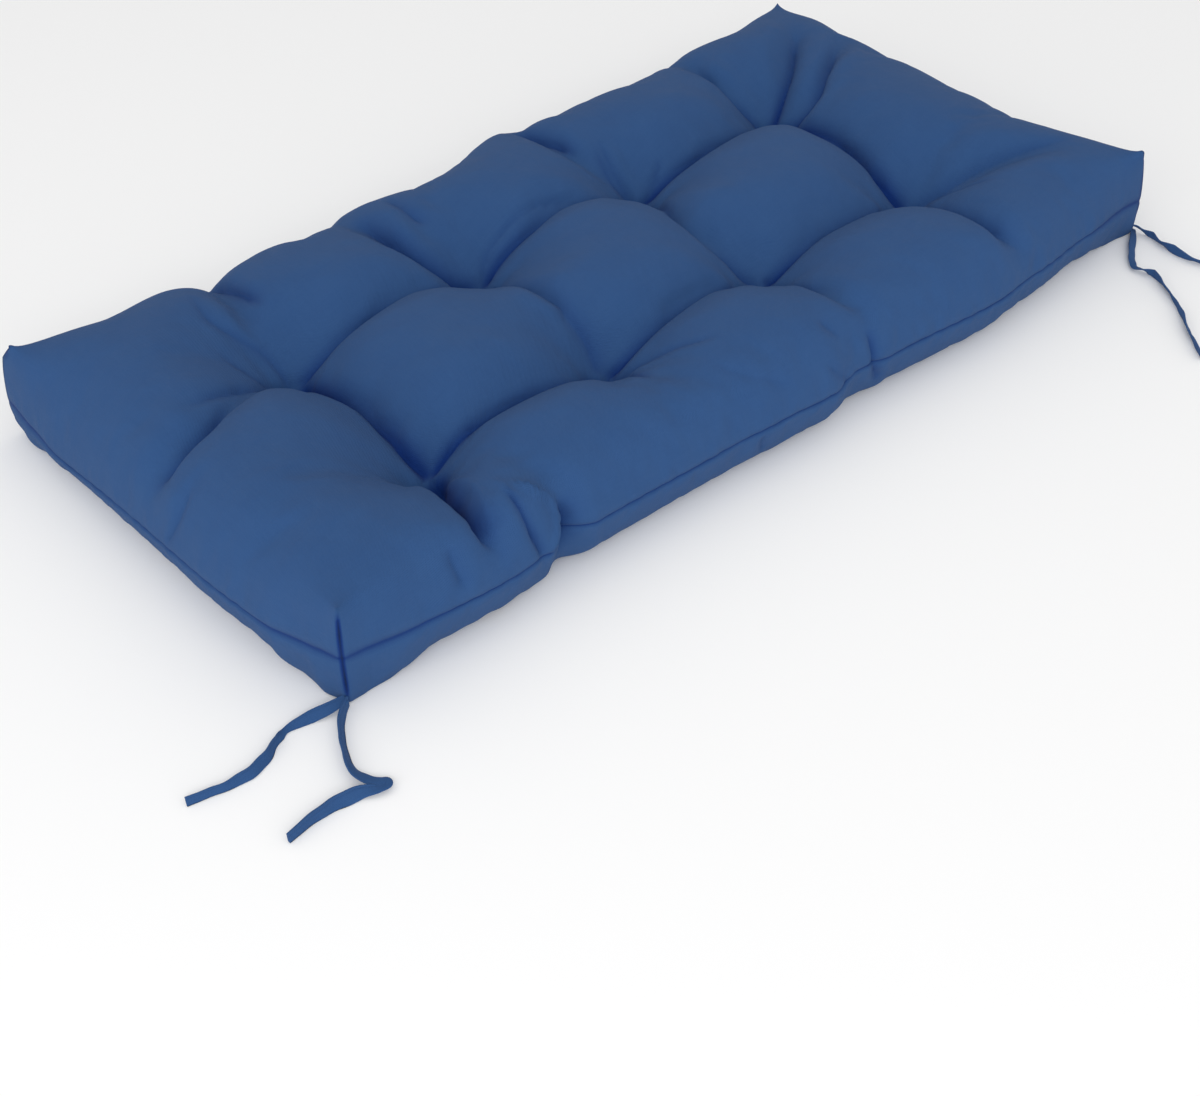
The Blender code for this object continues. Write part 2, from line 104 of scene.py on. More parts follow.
def readVectors(rows, key):
    flat = np.empty(len(rows) * 3)
    rows.foreach_get(key, flat)
    return flat.reshape(-1, 3)


def pointsOf(piece):
    return readVectors(piece.data.vertices, "co")


def normalsOf(piece):
    return readVectors(piece.data.vertices, "normal")


def gridOf(piece):
    # each point's place on the block that the cushion was shaped from, -1 to 1
    return readVectors(piece.data.attributes["grid"].data, "vector")


def awayFrom(points, x, y):
    # level distance from a place in the tables
    x, y, _ = placed(x, y)
    return np.hypot(points[:, 0] - x, points[:, 1] - y)


def setPoints(piece, points):
    piece.data.vertices.foreach_set("co", np.ascontiguousarray(points, dtype=np.float32).ravel())
    piece.data.update()


def applyAll(piece):
    makeActive(piece)
    for modifier in list(piece.modifiers):
        bpy.ops.object.modifier_apply(modifier=modifier.name)


def smoothRoute(rows, steps):
    # points on a smooth curve through the rows, with the rows' other values
    rows = np.array(rows, dtype=float)
    padded = np.vstack((2 * rows[0] - rows[1], rows, 2 * rows[-1] - rows[-2]))
    points = []
    for index in range(1, len(padded) - 2):
        before, start, end, after = padded[index - 1:index + 3]
        for step in range(steps):
            t = step / steps
            even = 2 * start + (end - before) * t + (2 * before - 5 * start + 4 * end - after) * t ** 2
            points.append(0.5 * (even + (3 * start - before - 3 * end + after) * t ** 3))
    points.append(rows[-1])
    return np.array(points)


# ties: folded and stitched strips of the cover's cloth
tie = {
    "halfWidth": 0.0050,
    "edge": 0.0008,  # half the strip's thickness
    "lift": 0.0003,  # clear air under it
    "steps": 8,  # points from one row to the next
    "ripple": 0.0005,  # how much its edges wander
    "rippleLength": 0.021,
    "wave": 0.10,  # share by which its width varies
    "waveStep": 0.013,
    "lowest": 0.0002,  # no point sinks below this
    "mergeWithin": 0.00001,
    "smoothUnder": math.radians(50),
    "declaredWidth": 0.010,
}

# each tie: x, y, height above lying flat, twist in degrees, relative width
tieRoutes = {
    "tie_near_left": (
        (-0.5012, -0.2402, 0.0045, 80, 0.7), (-0.5125, -0.2385, 0.003, 65, 0.75),
        (-0.5255, -0.235, 0.001, 45, 0.8), (-0.538, -0.2315, 0.0, 30, 0.8),
        (-0.552, -0.231, 0.0, 50, 0.5), (-0.5615, -0.2355, 0.0, 10, 1.1),
        (-0.575, -0.2433, 0.0, 25, 0.95), (-0.5885, -0.2485, 0.0, 45, 0.75),
        (-0.6035, -0.2495, 0.0, 35, 0.75), (-0.616, -0.248, 0.0, 20, 0.8),
        (-0.6285, -0.245, 0.0, 15, 0.95), (-0.645, -0.241, 0.0, 25, 0.85),
    ),
    "tie_near_front": (
        (-0.4997, -0.2396, 0.0015, 0, 1.2), (-0.5086, -0.246, 0.0, 8, 1.34),
        (-0.5185, -0.2565, 0.0, 15, 1.34), (-0.5285, -0.2725, 0.0, 20, 1.2),
        (-0.5365, -0.2895, 0.0, 25, 1.1), (-0.54, -0.3035, 0.0, 55, 0.95),
        (-0.5375, -0.315, 0.0, 80, 0.8), (-0.532, -0.3215, 0.0, 90, 0.75),
        (-0.5285, -0.3248, 0.0, 90, 0.75), (-0.5305, -0.328, 0.0, 90, 0.75),
        (-0.537, -0.326, 0.0, 85, 0.8), (-0.545, -0.322, 0.0, 60, 0.9),
        (-0.5585, -0.3185, 0.0, 30, 1.15), (-0.576, -0.317, 0.0, 10, 1.28),
        (-0.592, -0.3175, 0.0, 5, 1.34), (-0.612, -0.3205, 0.0, 5, 1.34),
    ),
    "tie_right_side": (
        (0.4985, -0.2365, 0.005, 60, 0.7), (0.5023, -0.242, 0.004, 50, 0.8),
        (0.5042, -0.2505, 0.0015, 40, 0.8), (0.5045, -0.261, 0.0, 10, 1.15),
        (0.499, -0.276, 0.0, 40, 0.75), (0.496, -0.29, 0.0, 5, 1.3),
        (0.4945, -0.304, 0.0, 15, 1.15), (0.496, -0.318, 0.0, 40, 0.8),
        (0.5, -0.334, 0.0, 20, 0.95), (0.505, -0.351, 0.0, 10, 1.05),
        (0.509, -0.369, 0.0, 30, 0.85), (0.511, -0.387, 0.0, 15, 1.0),
        (0.5115, -0.405, 0.0, 10, 1.05),
    ),
    "tie_right_front": (
        (0.5015, -0.2392, 0.0005, 65, 0.55), (0.498, -0.2419, 0.0, 65, 0.55),
        (0.488, -0.249, 0.0, 60, 0.65), (0.474, -0.2575, 0.0, 50, 0.75),
        (0.46, -0.267, 0.0, 55, 0.75), (0.4475, -0.2765, 0.0, 80, 0.7),
        (0.441, -0.284, 0.0, 90, 0.6), (0.4425, -0.2925, 0.0, 60, 0.75),
        (0.444, -0.3035, 0.0, 10, 1.15), (0.439, -0.315, 0.0, 20, 1.1),
        (0.43, -0.33, 0.0, 35, 0.9), (0.4155, -0.35, 0.0, 10, 1.1),
        (0.3975, -0.3715, 0.0, 10, 1.2), (0.383, -0.3865, 0.0, 35, 0.85),
        (0.369, -0.403, 0.0, 10, 1.2), (0.356, -0.419, 0.0, 15, 1.1),
    ),
}


def addStripProfile():
    # cross-section of a strip: one rounded folded edge, one flatter edge with a stitched channel
    bpy.ops.curve.primitive_bezier_circle_add(radius=1.0)
    profile = bpy.context.object
    profile.data.splines.clear()
    outline = profile.data.splines.new("POLY")
    corners = (
        (-1.00, 0.00), (-0.96, 0.75), (-0.82, 1.05), (-0.68, 0.80), (-0.62, 0.55), (-0.56, 0.85),
        (-0.25, 1.00), (0.25, 1.00), (0.65, 1.05), (0.90, 0.85), (1.00, 0.00), (0.90, -0.85),
        (0.65, -1.00), (0.00, -1.00), (-0.56, -0.90), (-0.62, -0.65), (-0.70, -0.90), (-0.94, -0.80),
    )
    outline.points.add(len(corners) - 1)
    for point, (across, up) in zip(outline.points, corners):
        point.co = (up * tie["edge"], across * (tie["halfWidth"] + tie["edge"]), 0.0, 1.0)
    outline.use_cyclic_u = True
    return profile


def addTie(name, rows, profile, number):
    route = smoothRoute(rows, tie["steps"])
    line = bpy.data.curves.new(name, "CURVE")
    line.dimensions = "3D"
    line.twist_mode = "Z_UP"
    line.bevel_mode = "OBJECT"
    line.bevel_object = profile
    line.use_fill_caps = True
    spline = line.splines.new("POLY")
    spline.points.add(len(route) - 1)
    gone = np.concatenate(([0.0], np.cumsum(np.linalg.norm(np.diff(route[:, :3], axis=0), axis=1))))
    for point, (x, y, lift, twist, width), along in zip(spline.points, route, gone):
        turn = math.radians(twist)
        wander = math.sin(along / tie["rippleLength"] * 2 * math.pi + number)
        width *= 1.0 + tie["wave"] * math.sin(along / tie["waveStep"] + 2.0 * number)
        halfHeight = tie["edge"] * width + tie["halfWidth"] * width * abs(math.sin(turn))
        sway = tie["ripple"] * wander * math.sin(math.pi * along / gone[-1])
        place = placed(x, y, tie["lift"] + lift + halfHeight)
        place = (place[0], place[1] + sway, place[2])
        point.co = (*place, 1.0)
        point.tilt = turn + math.pi
        point.radius = width
    piece = bpy.data.objects.new(name + "_cloth", line)
    bpy.context.scene.collection.objects.link(piece)
    makeActive(piece)
    bpy.ops.object.convert(target="MESH")
    piece = bpy.context.object
    bpy.ops.object.mode_set(mode="EDIT")
    bpy.ops.mesh.select_all(action="SELECT")
    bpy.ops.mesh.remove_doubles(threshold=tie["mergeWithin"])
    bpy.ops.mesh.normals_make_consistent(inside=False)
    bpy.ops.object.mode_set(mode="OBJECT")
    points = pointsOf(piece)
    points[:, 2] = np.maximum(points[:, 2], tie["lowest"])
    setPoints(piece, points)
    bpy.ops.object.shade_smooth_by_angle(angle=tie["smoothUnder"])
    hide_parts(name)
    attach(piece, "root")
    return piece


stripProfile = addStripProfile()
ties = [addTie(name, rows, stripProfile, number) for number, (name, rows) in enumerate(tieRoutes.items())]
bpy.data.objects.remove(stripProfile, do_unlink=True)
print("ties laid out")

# the cushion's main sizes, as its solid has them
form = {
    "crown": 0.109,
    "tuftTop": 0.047,
    "tuftBottom": 0.027,
    "upperRound": 0.044,
    "lowerRound": 0.024,
    "cornerRound": 0.002,
    "lean": math.radians(35),
    "cornerReach": 0.110,
    "domeReach": 0.120,
    "seamReach": 0.040,
    "rimSpread": 4,
    "sidePull": 0.5,
    "pullLimit": 0.85,
    "swellReach": 0.060,
    "wallSlope": 0.90,
    "tuftSlope": 0.80,
    "leastWidth": 0.030,
    "softMax": 6,
    "valleySteps": 6,
    "valleyEndShare": 0.85,
    "valleyEndReach": 0.040,
    "underShare": 0.45,  # depth of the folds underneath, against those on top
    "flatBelow": 0.0012,
}

# corners: x, y, height of the dart's top, outward swell
corners = {
    "near": (-0.500, -0.240, 0.095, 0.002),
    "right": (0.500, -0.240, 0.095, 0.004),
    "far": (0.481, 0.247, 0.102, 0.002),
    "left": (-0.500, 0.240, 0.095, 0.012),
}

# sides: first corner, second corner, facing x, facing y, runs along y
edges = {
    "front": ("near", "right", 0.0, -1.0, False),
    "back": ("left", "far", 0.0, 1.0, False),
    "left": ("near", "left", -1.0, 0.0, True),
    "right": ("right", "far", 1.0, 0.0, True),
}

# each side: distance along it, outward bulge at the seam, height of the seam
sides = {
    "front": (
        (-0.500, 0.000, 0.048), (-0.440, 0.010, 0.045), (-0.345, 0.015, 0.043),
        (-0.302, 0.011, 0.043), (-0.280, 0.001, 0.047), (-0.250, 0.011, 0.045),
        (-0.100, 0.014, 0.044), (-0.045, 0.019, 0.045), (0.020, 0.022, 0.043), (0.062, 0.014, 0.046),
        (0.100, 0.019, 0.045), (0.240, 0.027, 0.043), (0.310, 0.021, 0.043), (0.400, 0.012, 0.042),
        (0.500, 0.000, 0.037),
    ),
    "back": (
        (-0.500, 0.000, 0.034), (-0.430, 0.004, 0.042), (-0.360, 0.008, 0.045),
        (-0.310, -0.007, 0.045), (-0.240, 0.002, 0.045), (-0.190, -0.007, 0.045),
        (-0.140, 0.003, 0.045), (-0.050, -0.005, 0.045), (0.062, 0.019, 0.045),
        (0.092, 0.010, 0.046), (0.190, 0.010, 0.045), (0.245, 0.004, 0.045), (0.350, 0.014, 0.046),
        (0.430, 0.009, 0.047), (0.481, 0.000, 0.050),
    ),
    "left": (
        (-0.240, 0.000, 0.048), (-0.212, 0.010, 0.046), (-0.165, 0.020, 0.044),
        (-0.085, 0.023, 0.043), (0.040, 0.019, 0.037), (0.150, 0.015, 0.028), (0.205, 0.010, 0.028),
        (0.240, 0.000, 0.034),
    ),
    "right": (
        (-0.240, 0.000, 0.037), (-0.205, 0.005, 0.040), (-0.150, 0.005, 0.044),
        (-0.105, -0.001, 0.045), (-0.030, 0.008, 0.045), (0.060, 0.016, 0.045),
        (0.180, 0.021, 0.046), (0.247, 0.000, 0.050),
    ),
}

tufts = {
    "back1": (-0.322, 0.069),
    "back2": (-0.106, 0.074),
    "back3": (0.109, 0.082),
    "back4": (0.314, 0.095),
    "front1": (-0.322, -0.115),
    "front2": (-0.117, -0.110),
    "front3": (0.088, -0.105),
    "front4": (0.293, -0.105),
}

# valleys from tuft to tuft: from, to, sideways bow, depth at mid-way
valleys = (
    ("back1", "back2", 0.000, 0.031),
    ("back2", "back3", 0.004, 0.026),
    ("back3", "back4", -0.004, 0.041),
    ("front1", "front2", 0.000, 0.037),
    ("front2", "front3", 0.000, 0.037),
    ("front3", "front4", 0.000, 0.044),
    ("back1", "front1", 0.006, 0.049),
    ("back2", "front2", 0.004, 0.016),
    ("back3", "front3", -0.022, 0.030),
    ("back4", "front4", 0.008, 0.042),
)

# folds that run out from the tufts: depth at the start, depth at the end, least half width, route
folds = (
    (0.060, 0.012, 0.030, ("front1", (-0.338, -0.164), (-0.348, -0.204), (-0.350, -0.238))),
    (0.045, 0.004, 0.030, ("front2", (-0.120, -0.148), (-0.124, -0.183))),
    (0.050, 0.005, 0.030, ("front3", (0.085, -0.150), (0.083, -0.196), (0.085, -0.235))),
    (0.055, 0.012, 0.030, ("front4", (0.286, -0.145), (0.281, -0.196), (0.280, -0.240))),
    (0.050, 0.006, 0.035, ("front4", (0.324, -0.132), (0.368, -0.147), (0.445, -0.189))),
    (0.045, 0.012, 0.035, ("back1", (-0.377, 0.052), (-0.439, 0.013), (-0.491, 0.002))),
    (0.040, 0.008, 0.035, ("back1", (-0.317, 0.140), (-0.311, 0.224))),
    (0.050, 0.010, 0.040, ("back2", (-0.137, 0.102), (-0.154, 0.140), (-0.159, 0.201))),
    (0.045, 0.008, 0.035, ("back3", (0.093, 0.120), (0.077, 0.156), (0.074, 0.224))),
    (0.045, 0.006, 0.035, ("back4", (0.306, 0.130), (0.299, 0.179), (0.299, 0.229))),
    (0.045, 0.006, 0.030, ("back4", (0.365, 0.123), (0.425, 0.165), (0.465, 0.225))),
    (0.045, 0.004, 0.030, ("back4", (0.333, 0.082), (0.358, 0.077), (0.444, 0.122))),
)


def spotOf(place):
    # a tuft's name stands for its place
    return tufts[place] if isinstance(place, str) else place


def ease(t):
    t = np.clip(t, 0.0, 1.0)
    return t * t * (3.0 - 2.0 * t)


def fromRows(rows, along, column):
    # a column's value at a place along a side, eased from row to row
    places = np.array([row[0] for row in rows])
    values = np.array([row[column] for row in rows])
    index = np.clip(np.searchsorted(places, along) - 1, 0, len(rows) - 2)
    share = ease((along - places[index]) / (places[index + 1] - places[index]))
    return values[index] + (values[index + 1] - values[index]) * share


def distanceToRoute(x, y, route):
    # distance from each point to a polyline, and share of the way along it
    route = np.array(route)
    lengths = np.linalg.norm(np.diff(route, axis=0), axis=1)
    nearest = np.full(x.shape, np.inf)
    share = np.zeros(x.shape)
    gone = 0.0
    for start, end, length in zip(route[:-1], route[1:], lengths):
        way = (end - start) / length
        t = np.clip((x - start[0]) * way[0] + (y - start[1]) * way[1], 0.0, length)
        away = np.hypot(x - (start[0] + t * way[0]), y - (start[1] + t * way[1]))
        closer = away < nearest
        nearest = np.where(closer, away, nearest)
        share = np.where(closer, (gone + t) / lengths.sum(), share)
        gone += length
    return nearest, share


def sideData(name, along):
    rows = sides[name]
    fromEnd = np.minimum(along - rows[0][0], rows[-1][0] - along)
    roundness = ease(fromEnd / form["cornerReach"])
    return {
        "bulge": fromRows(rows, along, 1),
        "seam": fromRows(rows, along, 2),
        "upperRound": form["cornerRound"] + form["upperRound"] * roundness,
        "lowerRound": form["cornerRound"] + form["lowerRound"] * roundness,
        "lean": form["lean"] * roundness,
    }


def betweenCorners(first, second, t, column):
    share = (np.asarray(t) + 1.0) / 2.0
    return corners[first][column] * (1.0 - share) + corners[second][column] * share


def acrossPanel(u, v, column):
    near = betweenCorners("near", "right", u, column)
    far = betweenCorners("left", "far", u, column)
    share = (v + 1.0) / 2.0
    return near * (1.0 - share) + far * share


def planOfPanel(u, v, top):
    x = acrossPanel(u, v, 0)
    y = acrossPanel(u, v, 1)
    shiftX = np.zeros_like(x)
    shiftY = np.zeros_like(y)
    for name, (_, _, outX, outY, alongY) in edges.items():
        side = sideData(name, y if alongY else x)
        rounding = side["upperRound"] if top else side["lowerRound"]
        inset = rounding * (1.0 - np.sin(side["lean"]))
        closeness = np.clip((1.0 + outX * u + outY * v) / 2.0, 0.0, 1.0)
        push = (side["bulge"] - inset) * closeness ** form["rimSpread"]
        shiftX += outX * push
        shiftY += outY * push
    return x + shiftX, y + shiftY


def inwardDistance(name, x, y):
    # how far in from a side's seam line each point lies
    first, second, outX, outY, alongY = edges[name]
    along, across, column = (y, x, 1) if alongY else (x, y, 0)
    side = sideData(name, along)
    start = corners[first][column]
    end = corners[second][column]
    t = np.clip(2.0 * (along - start) / (end - start) - 1.0, -1.0, 1.0)
    line = betweenCorners(first, second, t, 1 - column)
    return (outX + outY) * (line - across) + side["bulge"], side


def valleyRoute(start, end, bow):
    startX, startY = tufts[start]
    endX, endY = tufts[end]
    length = math.hypot(endX - startX, endY - startY)
    bowX = bow * abs(endY - startY) / length
    bowY = bow * abs(endX - startX) / length
    route = []
    for step in range(form["valleySteps"] + 1):
        t = step / form["valleySteps"]
        swing = math.sin(math.pi * t)
        x = startX + (endX - startX) * t + bowX * swing
        y = startY + (endY - startY) * t + bowY * swing
        route.append((x, y))
    return route, length


def trough(depth, away, leastWidth, slope=form["wallSlope"]):
    # a valley's walls keep one slope, so a deeper valley is wider
    halfWidth = np.maximum(depth * math.pi / 2 / slope, leastWidth)
    return depth * (1.0 - np.sin(np.clip(away / halfWidth, 0.0, 1.0) * math.pi / 2))


def foldDepth(x, y, tuftDepth, shareOfDepth):
    troughs = []
    for tuftX, tuftY in tufts.values():
        away = np.hypot(x - tuftX, y - tuftY)
        troughs.append(trough(tuftDepth, away, form["leastWidth"], form["tuftSlope"]))
    for start, end, bow, middleDepth in valleys:
        route, length = valleyRoute(start, end, bow)
        away, share = distanceToRoute(x, y, route)
        fromEnd = np.minimum(share, 1.0 - share) * length
        shallow = middleDepth * shareOfDepth
        deep = form["valleyEndShare"] * tuftDepth
        depth = shallow + (deep - shallow) * np.exp(-fromEnd / form["valleyEndReach"])
        troughs.append(trough(depth, away, form["leastWidth"]))
    for startDepth, endDepth, leastWidth, route in folds:
        away, share = distanceToRoute(x, y, [spotOf(place) for place in route])
        depth = (startDepth + (endDepth - startDepth) * share) * shareOfDepth
        troughs.append(trough(depth, away, leastWidth))
    total = sum(each ** form["softMax"] for each in troughs) ** (1.0 / form["softMax"])
    return np.minimum(total, tuftDepth)


def shapePanel(u, v, top):
    x, y = planOfPanel(u, v, top)
    rise = np.ones_like(x)
    seam = np.zeros_like(x)
    weight = np.zeros_like(x)
    nearest = np.full(x.shape, np.inf)
    leanX = np.zeros_like(x)
    leanY = np.zeros_like(x)
    for name, (_, _, outX, outY, alongY) in edges.items():
        inward, side = inwardDistance(name, x, y)
        rounding = side["upperRound"] if top else side["lowerRound"]
        short = np.clip(1.0 - inward / rounding, 0.0, 1.0)
        rise *= np.sqrt(1.0 - short ** 2)
        share = np.exp(-inward / form["seamReach"])
        seam += side["seam"] * share
        weight += share
        nearest = np.minimum(nearest, inward)
        leanX += outX * short
        leanY += outY * short
    seam = seam / weight
    if not top:
        depth = foldDepth(x, y, form["tuftBottom"], form["underShare"])
        z = np.maximum(seam * (1.0 - rise), depth * rise)
        return np.stack((x, y, np.where(z < form["flatBelow"], 0.0, z)), axis=1)
    dome = (form["crown"] - corners["near"][2]) * ease(nearest / form["domeReach"])
    height = seam + (acrossPanel(u, v, 2) - seam) * rise + dome
    depth = foldDepth(x, y, form["crown"] - form["tuftTop"], 1.0)
    pull = np.minimum(depth, form["pullLimit"] * (height - seam))
    upright = np.sqrt(np.clip(1.0 - leanX ** 2 - leanY ** 2, 0.0, 1.0))
    x = x - pull * leanX * form["sidePull"]
    y = y - pull * leanY * form["sidePull"]
    return np.stack((x, y, height - pull * upright), axis=1)


def shapeSide(name, t, w):
    first, second, outX, outY, alongY = edges[name]
    x = betweenCorners(first, second, t, 0)
    y = betweenCorners(first, second, t, 1)
    rim = betweenCorners(first, second, t, 2)
    along = y if alongY else x
    side = sideData(name, along)
    above = w >= 0.0
    angle = math.pi / 2 - np.abs(w) * (math.pi / 2 - side["lean"])
    rounding = np.where(above, side["upperRound"], side["lowerRound"])
    outward = side["bulge"] - rounding * (1.0 - np.sin(angle))
    upper = side["seam"] + (rim - side["seam"]) * np.cos(angle)
    lower = side["seam"] * (1.0 - np.cos(angle))
    z = np.where(above, upper, lower)
    x = x + outX * outward
    y = y + outY * outward
    for corner in (first, second):
        cornerX, cornerY, _, swell = corners[corner]
        away = np.abs(along - (cornerY if alongY else cornerX))
        push = swell * np.exp(-away / form["swellReach"]) * np.sin(angle) * math.sqrt(0.5)
        x = x + math.copysign(1.0, cornerX) * push
        y = y + math.copysign(1.0, cornerY) * push
    depth = foldDepth(x, y, form["crown"] - form["tuftTop"], 1.0) * (w + 1.0) / 2.0
    x = x - outX * depth * form["sidePull"] * np.sin(angle)
    y = y - outY * depth * form["sidePull"] * np.sin(angle)
    drop = np.minimum(depth * np.cos(angle), form["pullLimit"] * (z - side["seam"]))
    return np.stack((x, y, np.where(above, z - drop, z)), axis=1)


# the block that becomes the cushion: cells along, across and down its sides
block = {
    "along": 136,
    "across": 66,
    "sideRows": (0.86, 0.71, 0.56, 0.42, 0.29, 0.17, 0.05, 0.0),  # from the rim to the seam
    "mergeWithin": 0.0001,
    "rim": 0.999,  # points further out than this are on the rim
}


def fixOrder(piece):
    # the operators leave the faces in another order each run, and creases and cloth depend on it
    points = pointsOf(piece)
    faces = sorted(list(face.vertices) for face in piece.data.polygons)
    piece.data.clear_geometry()
    piece.data.from_pydata(points.tolist(), [], faces)


def addBlock():
    # a grid for the top, its rim drawn down row by row, and a second grid for the underside
    deselectAll()
    bpy.ops.mesh.primitive_grid_add(x_subdivisions=block["along"], y_subdivisions=block["across"], size=2.0,
                                    location=(0.0, 0.0, 1.0))
    piece = bpy.context.object
    bpy.ops.object.transform_apply(location=True)
    bpy.ops.object.mode_set(mode="EDIT")
    bpy.ops.mesh.select_all(action="SELECT")
    bpy.ops.mesh.region_to_loop()
    height = 1.0
    rows = list(block["sideRows"])
    for row in rows + [-row for row in reversed(rows[:-1])] + [-1.0]:
        bpy.ops.mesh.extrude_region_move(TRANSFORM_OT_translate={"value": (0.0, 0.0, row - height)})
        height = row
    bpy.ops.mesh.select_all(action="DESELECT")
    bpy.ops.mesh.primitive_grid_add(x_subdivisions=block["along"], y_subdivisions=block["across"], size=2.0,
                                    location=(0.0, 0.0, -1.0))
    bpy.ops.mesh.select_all(action="SELECT")
    bpy.ops.mesh.remove_doubles(threshold=block["mergeWithin"])
    bpy.ops.mesh.normals_make_consistent(inside=False)
    bpy.ops.object.mode_set(mode="OBJECT")
    fixOrder(piece)
    piece.name = "cushion_cover"
    return piece


def shapePoints(grid):
    u, v, w = grid.T
    rim = block["rim"]
    points = np.zeros_like(grid)
    onTop = w > rim
    under = w < -rim
    points[onTop] = shapePanel(u[onTop], v[onTop], True)
    points[under] = shapePanel(u[under], v[under], False)
    onSide = ~(onTop | under)
    for name, chosen in (("front", v < -rim), ("back", v > rim), ("left", u < -rim), ("right", u > rim)):
        chosen = onSide & chosen
        along = v[chosen] if edges[name][4] else u[chosen]
        points[chosen] = shapeSide(name, along, w[chosen])
    return points


def makeCushion():
    piece = addBlock()
    grid = pointsOf(piece)
    keep = piece.data.attributes.new("grid", "FLOAT_VECTOR", "POINT")
    keep.data.foreach_set("vector", grid.astype(np.float32).ravel())
    points = shapePoints(grid)
    points[:, :2] -= middle
    setPoints(piece, points)
    return piece


def isLying(points):
    return points[:, 2] < form["flatBelow"]


# the filling's push, simulated on the sewn cover
filling = {
    "start": 0.0030,  # how much smaller the cover starts
    "lastFrame": 20,
    "cloth": {
        "quality": 6,
        "mass": 0.3,
        "tension_stiffness": 18.0,
        "compression_stiffness": 18.0,
        "shear_stiffness": 6.0,
        "bending_stiffness": 0.15,
        "shrink_min": -0.020,  # cut larger than the form by this share
        "use_pressure": True,
        "uniform_pressure_force": 8.0,
    },
    "stretchCap": 0.007,  # the most that a point moves
    "tuftHold": 0.022,
    "tuftHoldEnd": 1.6,  # where a tuft's hold ends, in the value above
    "seamHold": 0.75,
    "seamBand": 0.10,  # in the grid's rows
    "sideHold": 0.30,
    "sideBand": 0.9,
    "dartHold": 0.035,  # width of the held band beside each corner dart
}


def holdWeights(piece):
    # 1 where the cover can't move: under the cushion, at the tufts and along corner darts
    points = pointsOf(piece)
    grid = gridOf(piece)
    hold = np.zeros(len(points))
    hold[isLying(points)] = 1.0
    for x, y in tufts.values():
        away = awayFrom(points, x, y)
        hold = np.maximum(hold, ease(filling["tuftHoldEnd"] - away / filling["tuftHold"]))
    seam = np.exp(-(grid[:, 2] / filling["seamBand"]) ** 2)
    onSide = np.abs(grid[:, 2]) < filling["sideBand"]
    hold = np.maximum(hold, filling["seamHold"] * seam * onSide)
    hold = np.maximum(hold, filling["sideHold"] * onSide)
    for x, y, _, _ in corners.values():
        hold = np.maximum(hold, 1.0 - ease(awayFrom(points, x, y) / filling["dartHold"]))
    return hold


def fillCover(piece):
    # swells the cover with cloth simulation, then caps how far each point went
    full = pointsOf(piece)
    hold = holdWeights(piece)
    small = full - normalsOf(piece) * (filling["start"] * (1.0 - hold))[:, None]
    group = piece.vertex_groups.new(name="hold")
    for index, weight in enumerate(hold):
        if weight > 0.0:
            group.add([index], float(weight), "REPLACE")
    setPoints(piece, small)
    cloth = piece.modifiers.new("cloth", "CLOTH")
    for key, value in filling["cloth"].items():
        setattr(cloth.settings, key, value)
    cloth.settings.vertex_group_mass = "hold"
    cloth.settings.effector_weights.gravity = 0.0
    cloth.collision_settings.use_collision = False
    for number in range(1, filling["lastFrame"] + 1):
        bpy.context.scene.frame_set(number)
    makeActive(piece)
    bpy.ops.object.modifier_apply(modifier="cloth")
    bpy.context.scene.frame_set(1)
    swollen = pointsOf(piece)
    move = swollen - full
    length = np.linalg.norm(move, axis=1, keepdims=True)
    cap = filling["stretchCap"]
    move *= cap * np.tanh(length / cap) / np.maximum(length, 1e-9)
    points = full + move
    points[:, 2] = np.maximum(points[:, 2], 0.0)
    setPoints(piece, points)


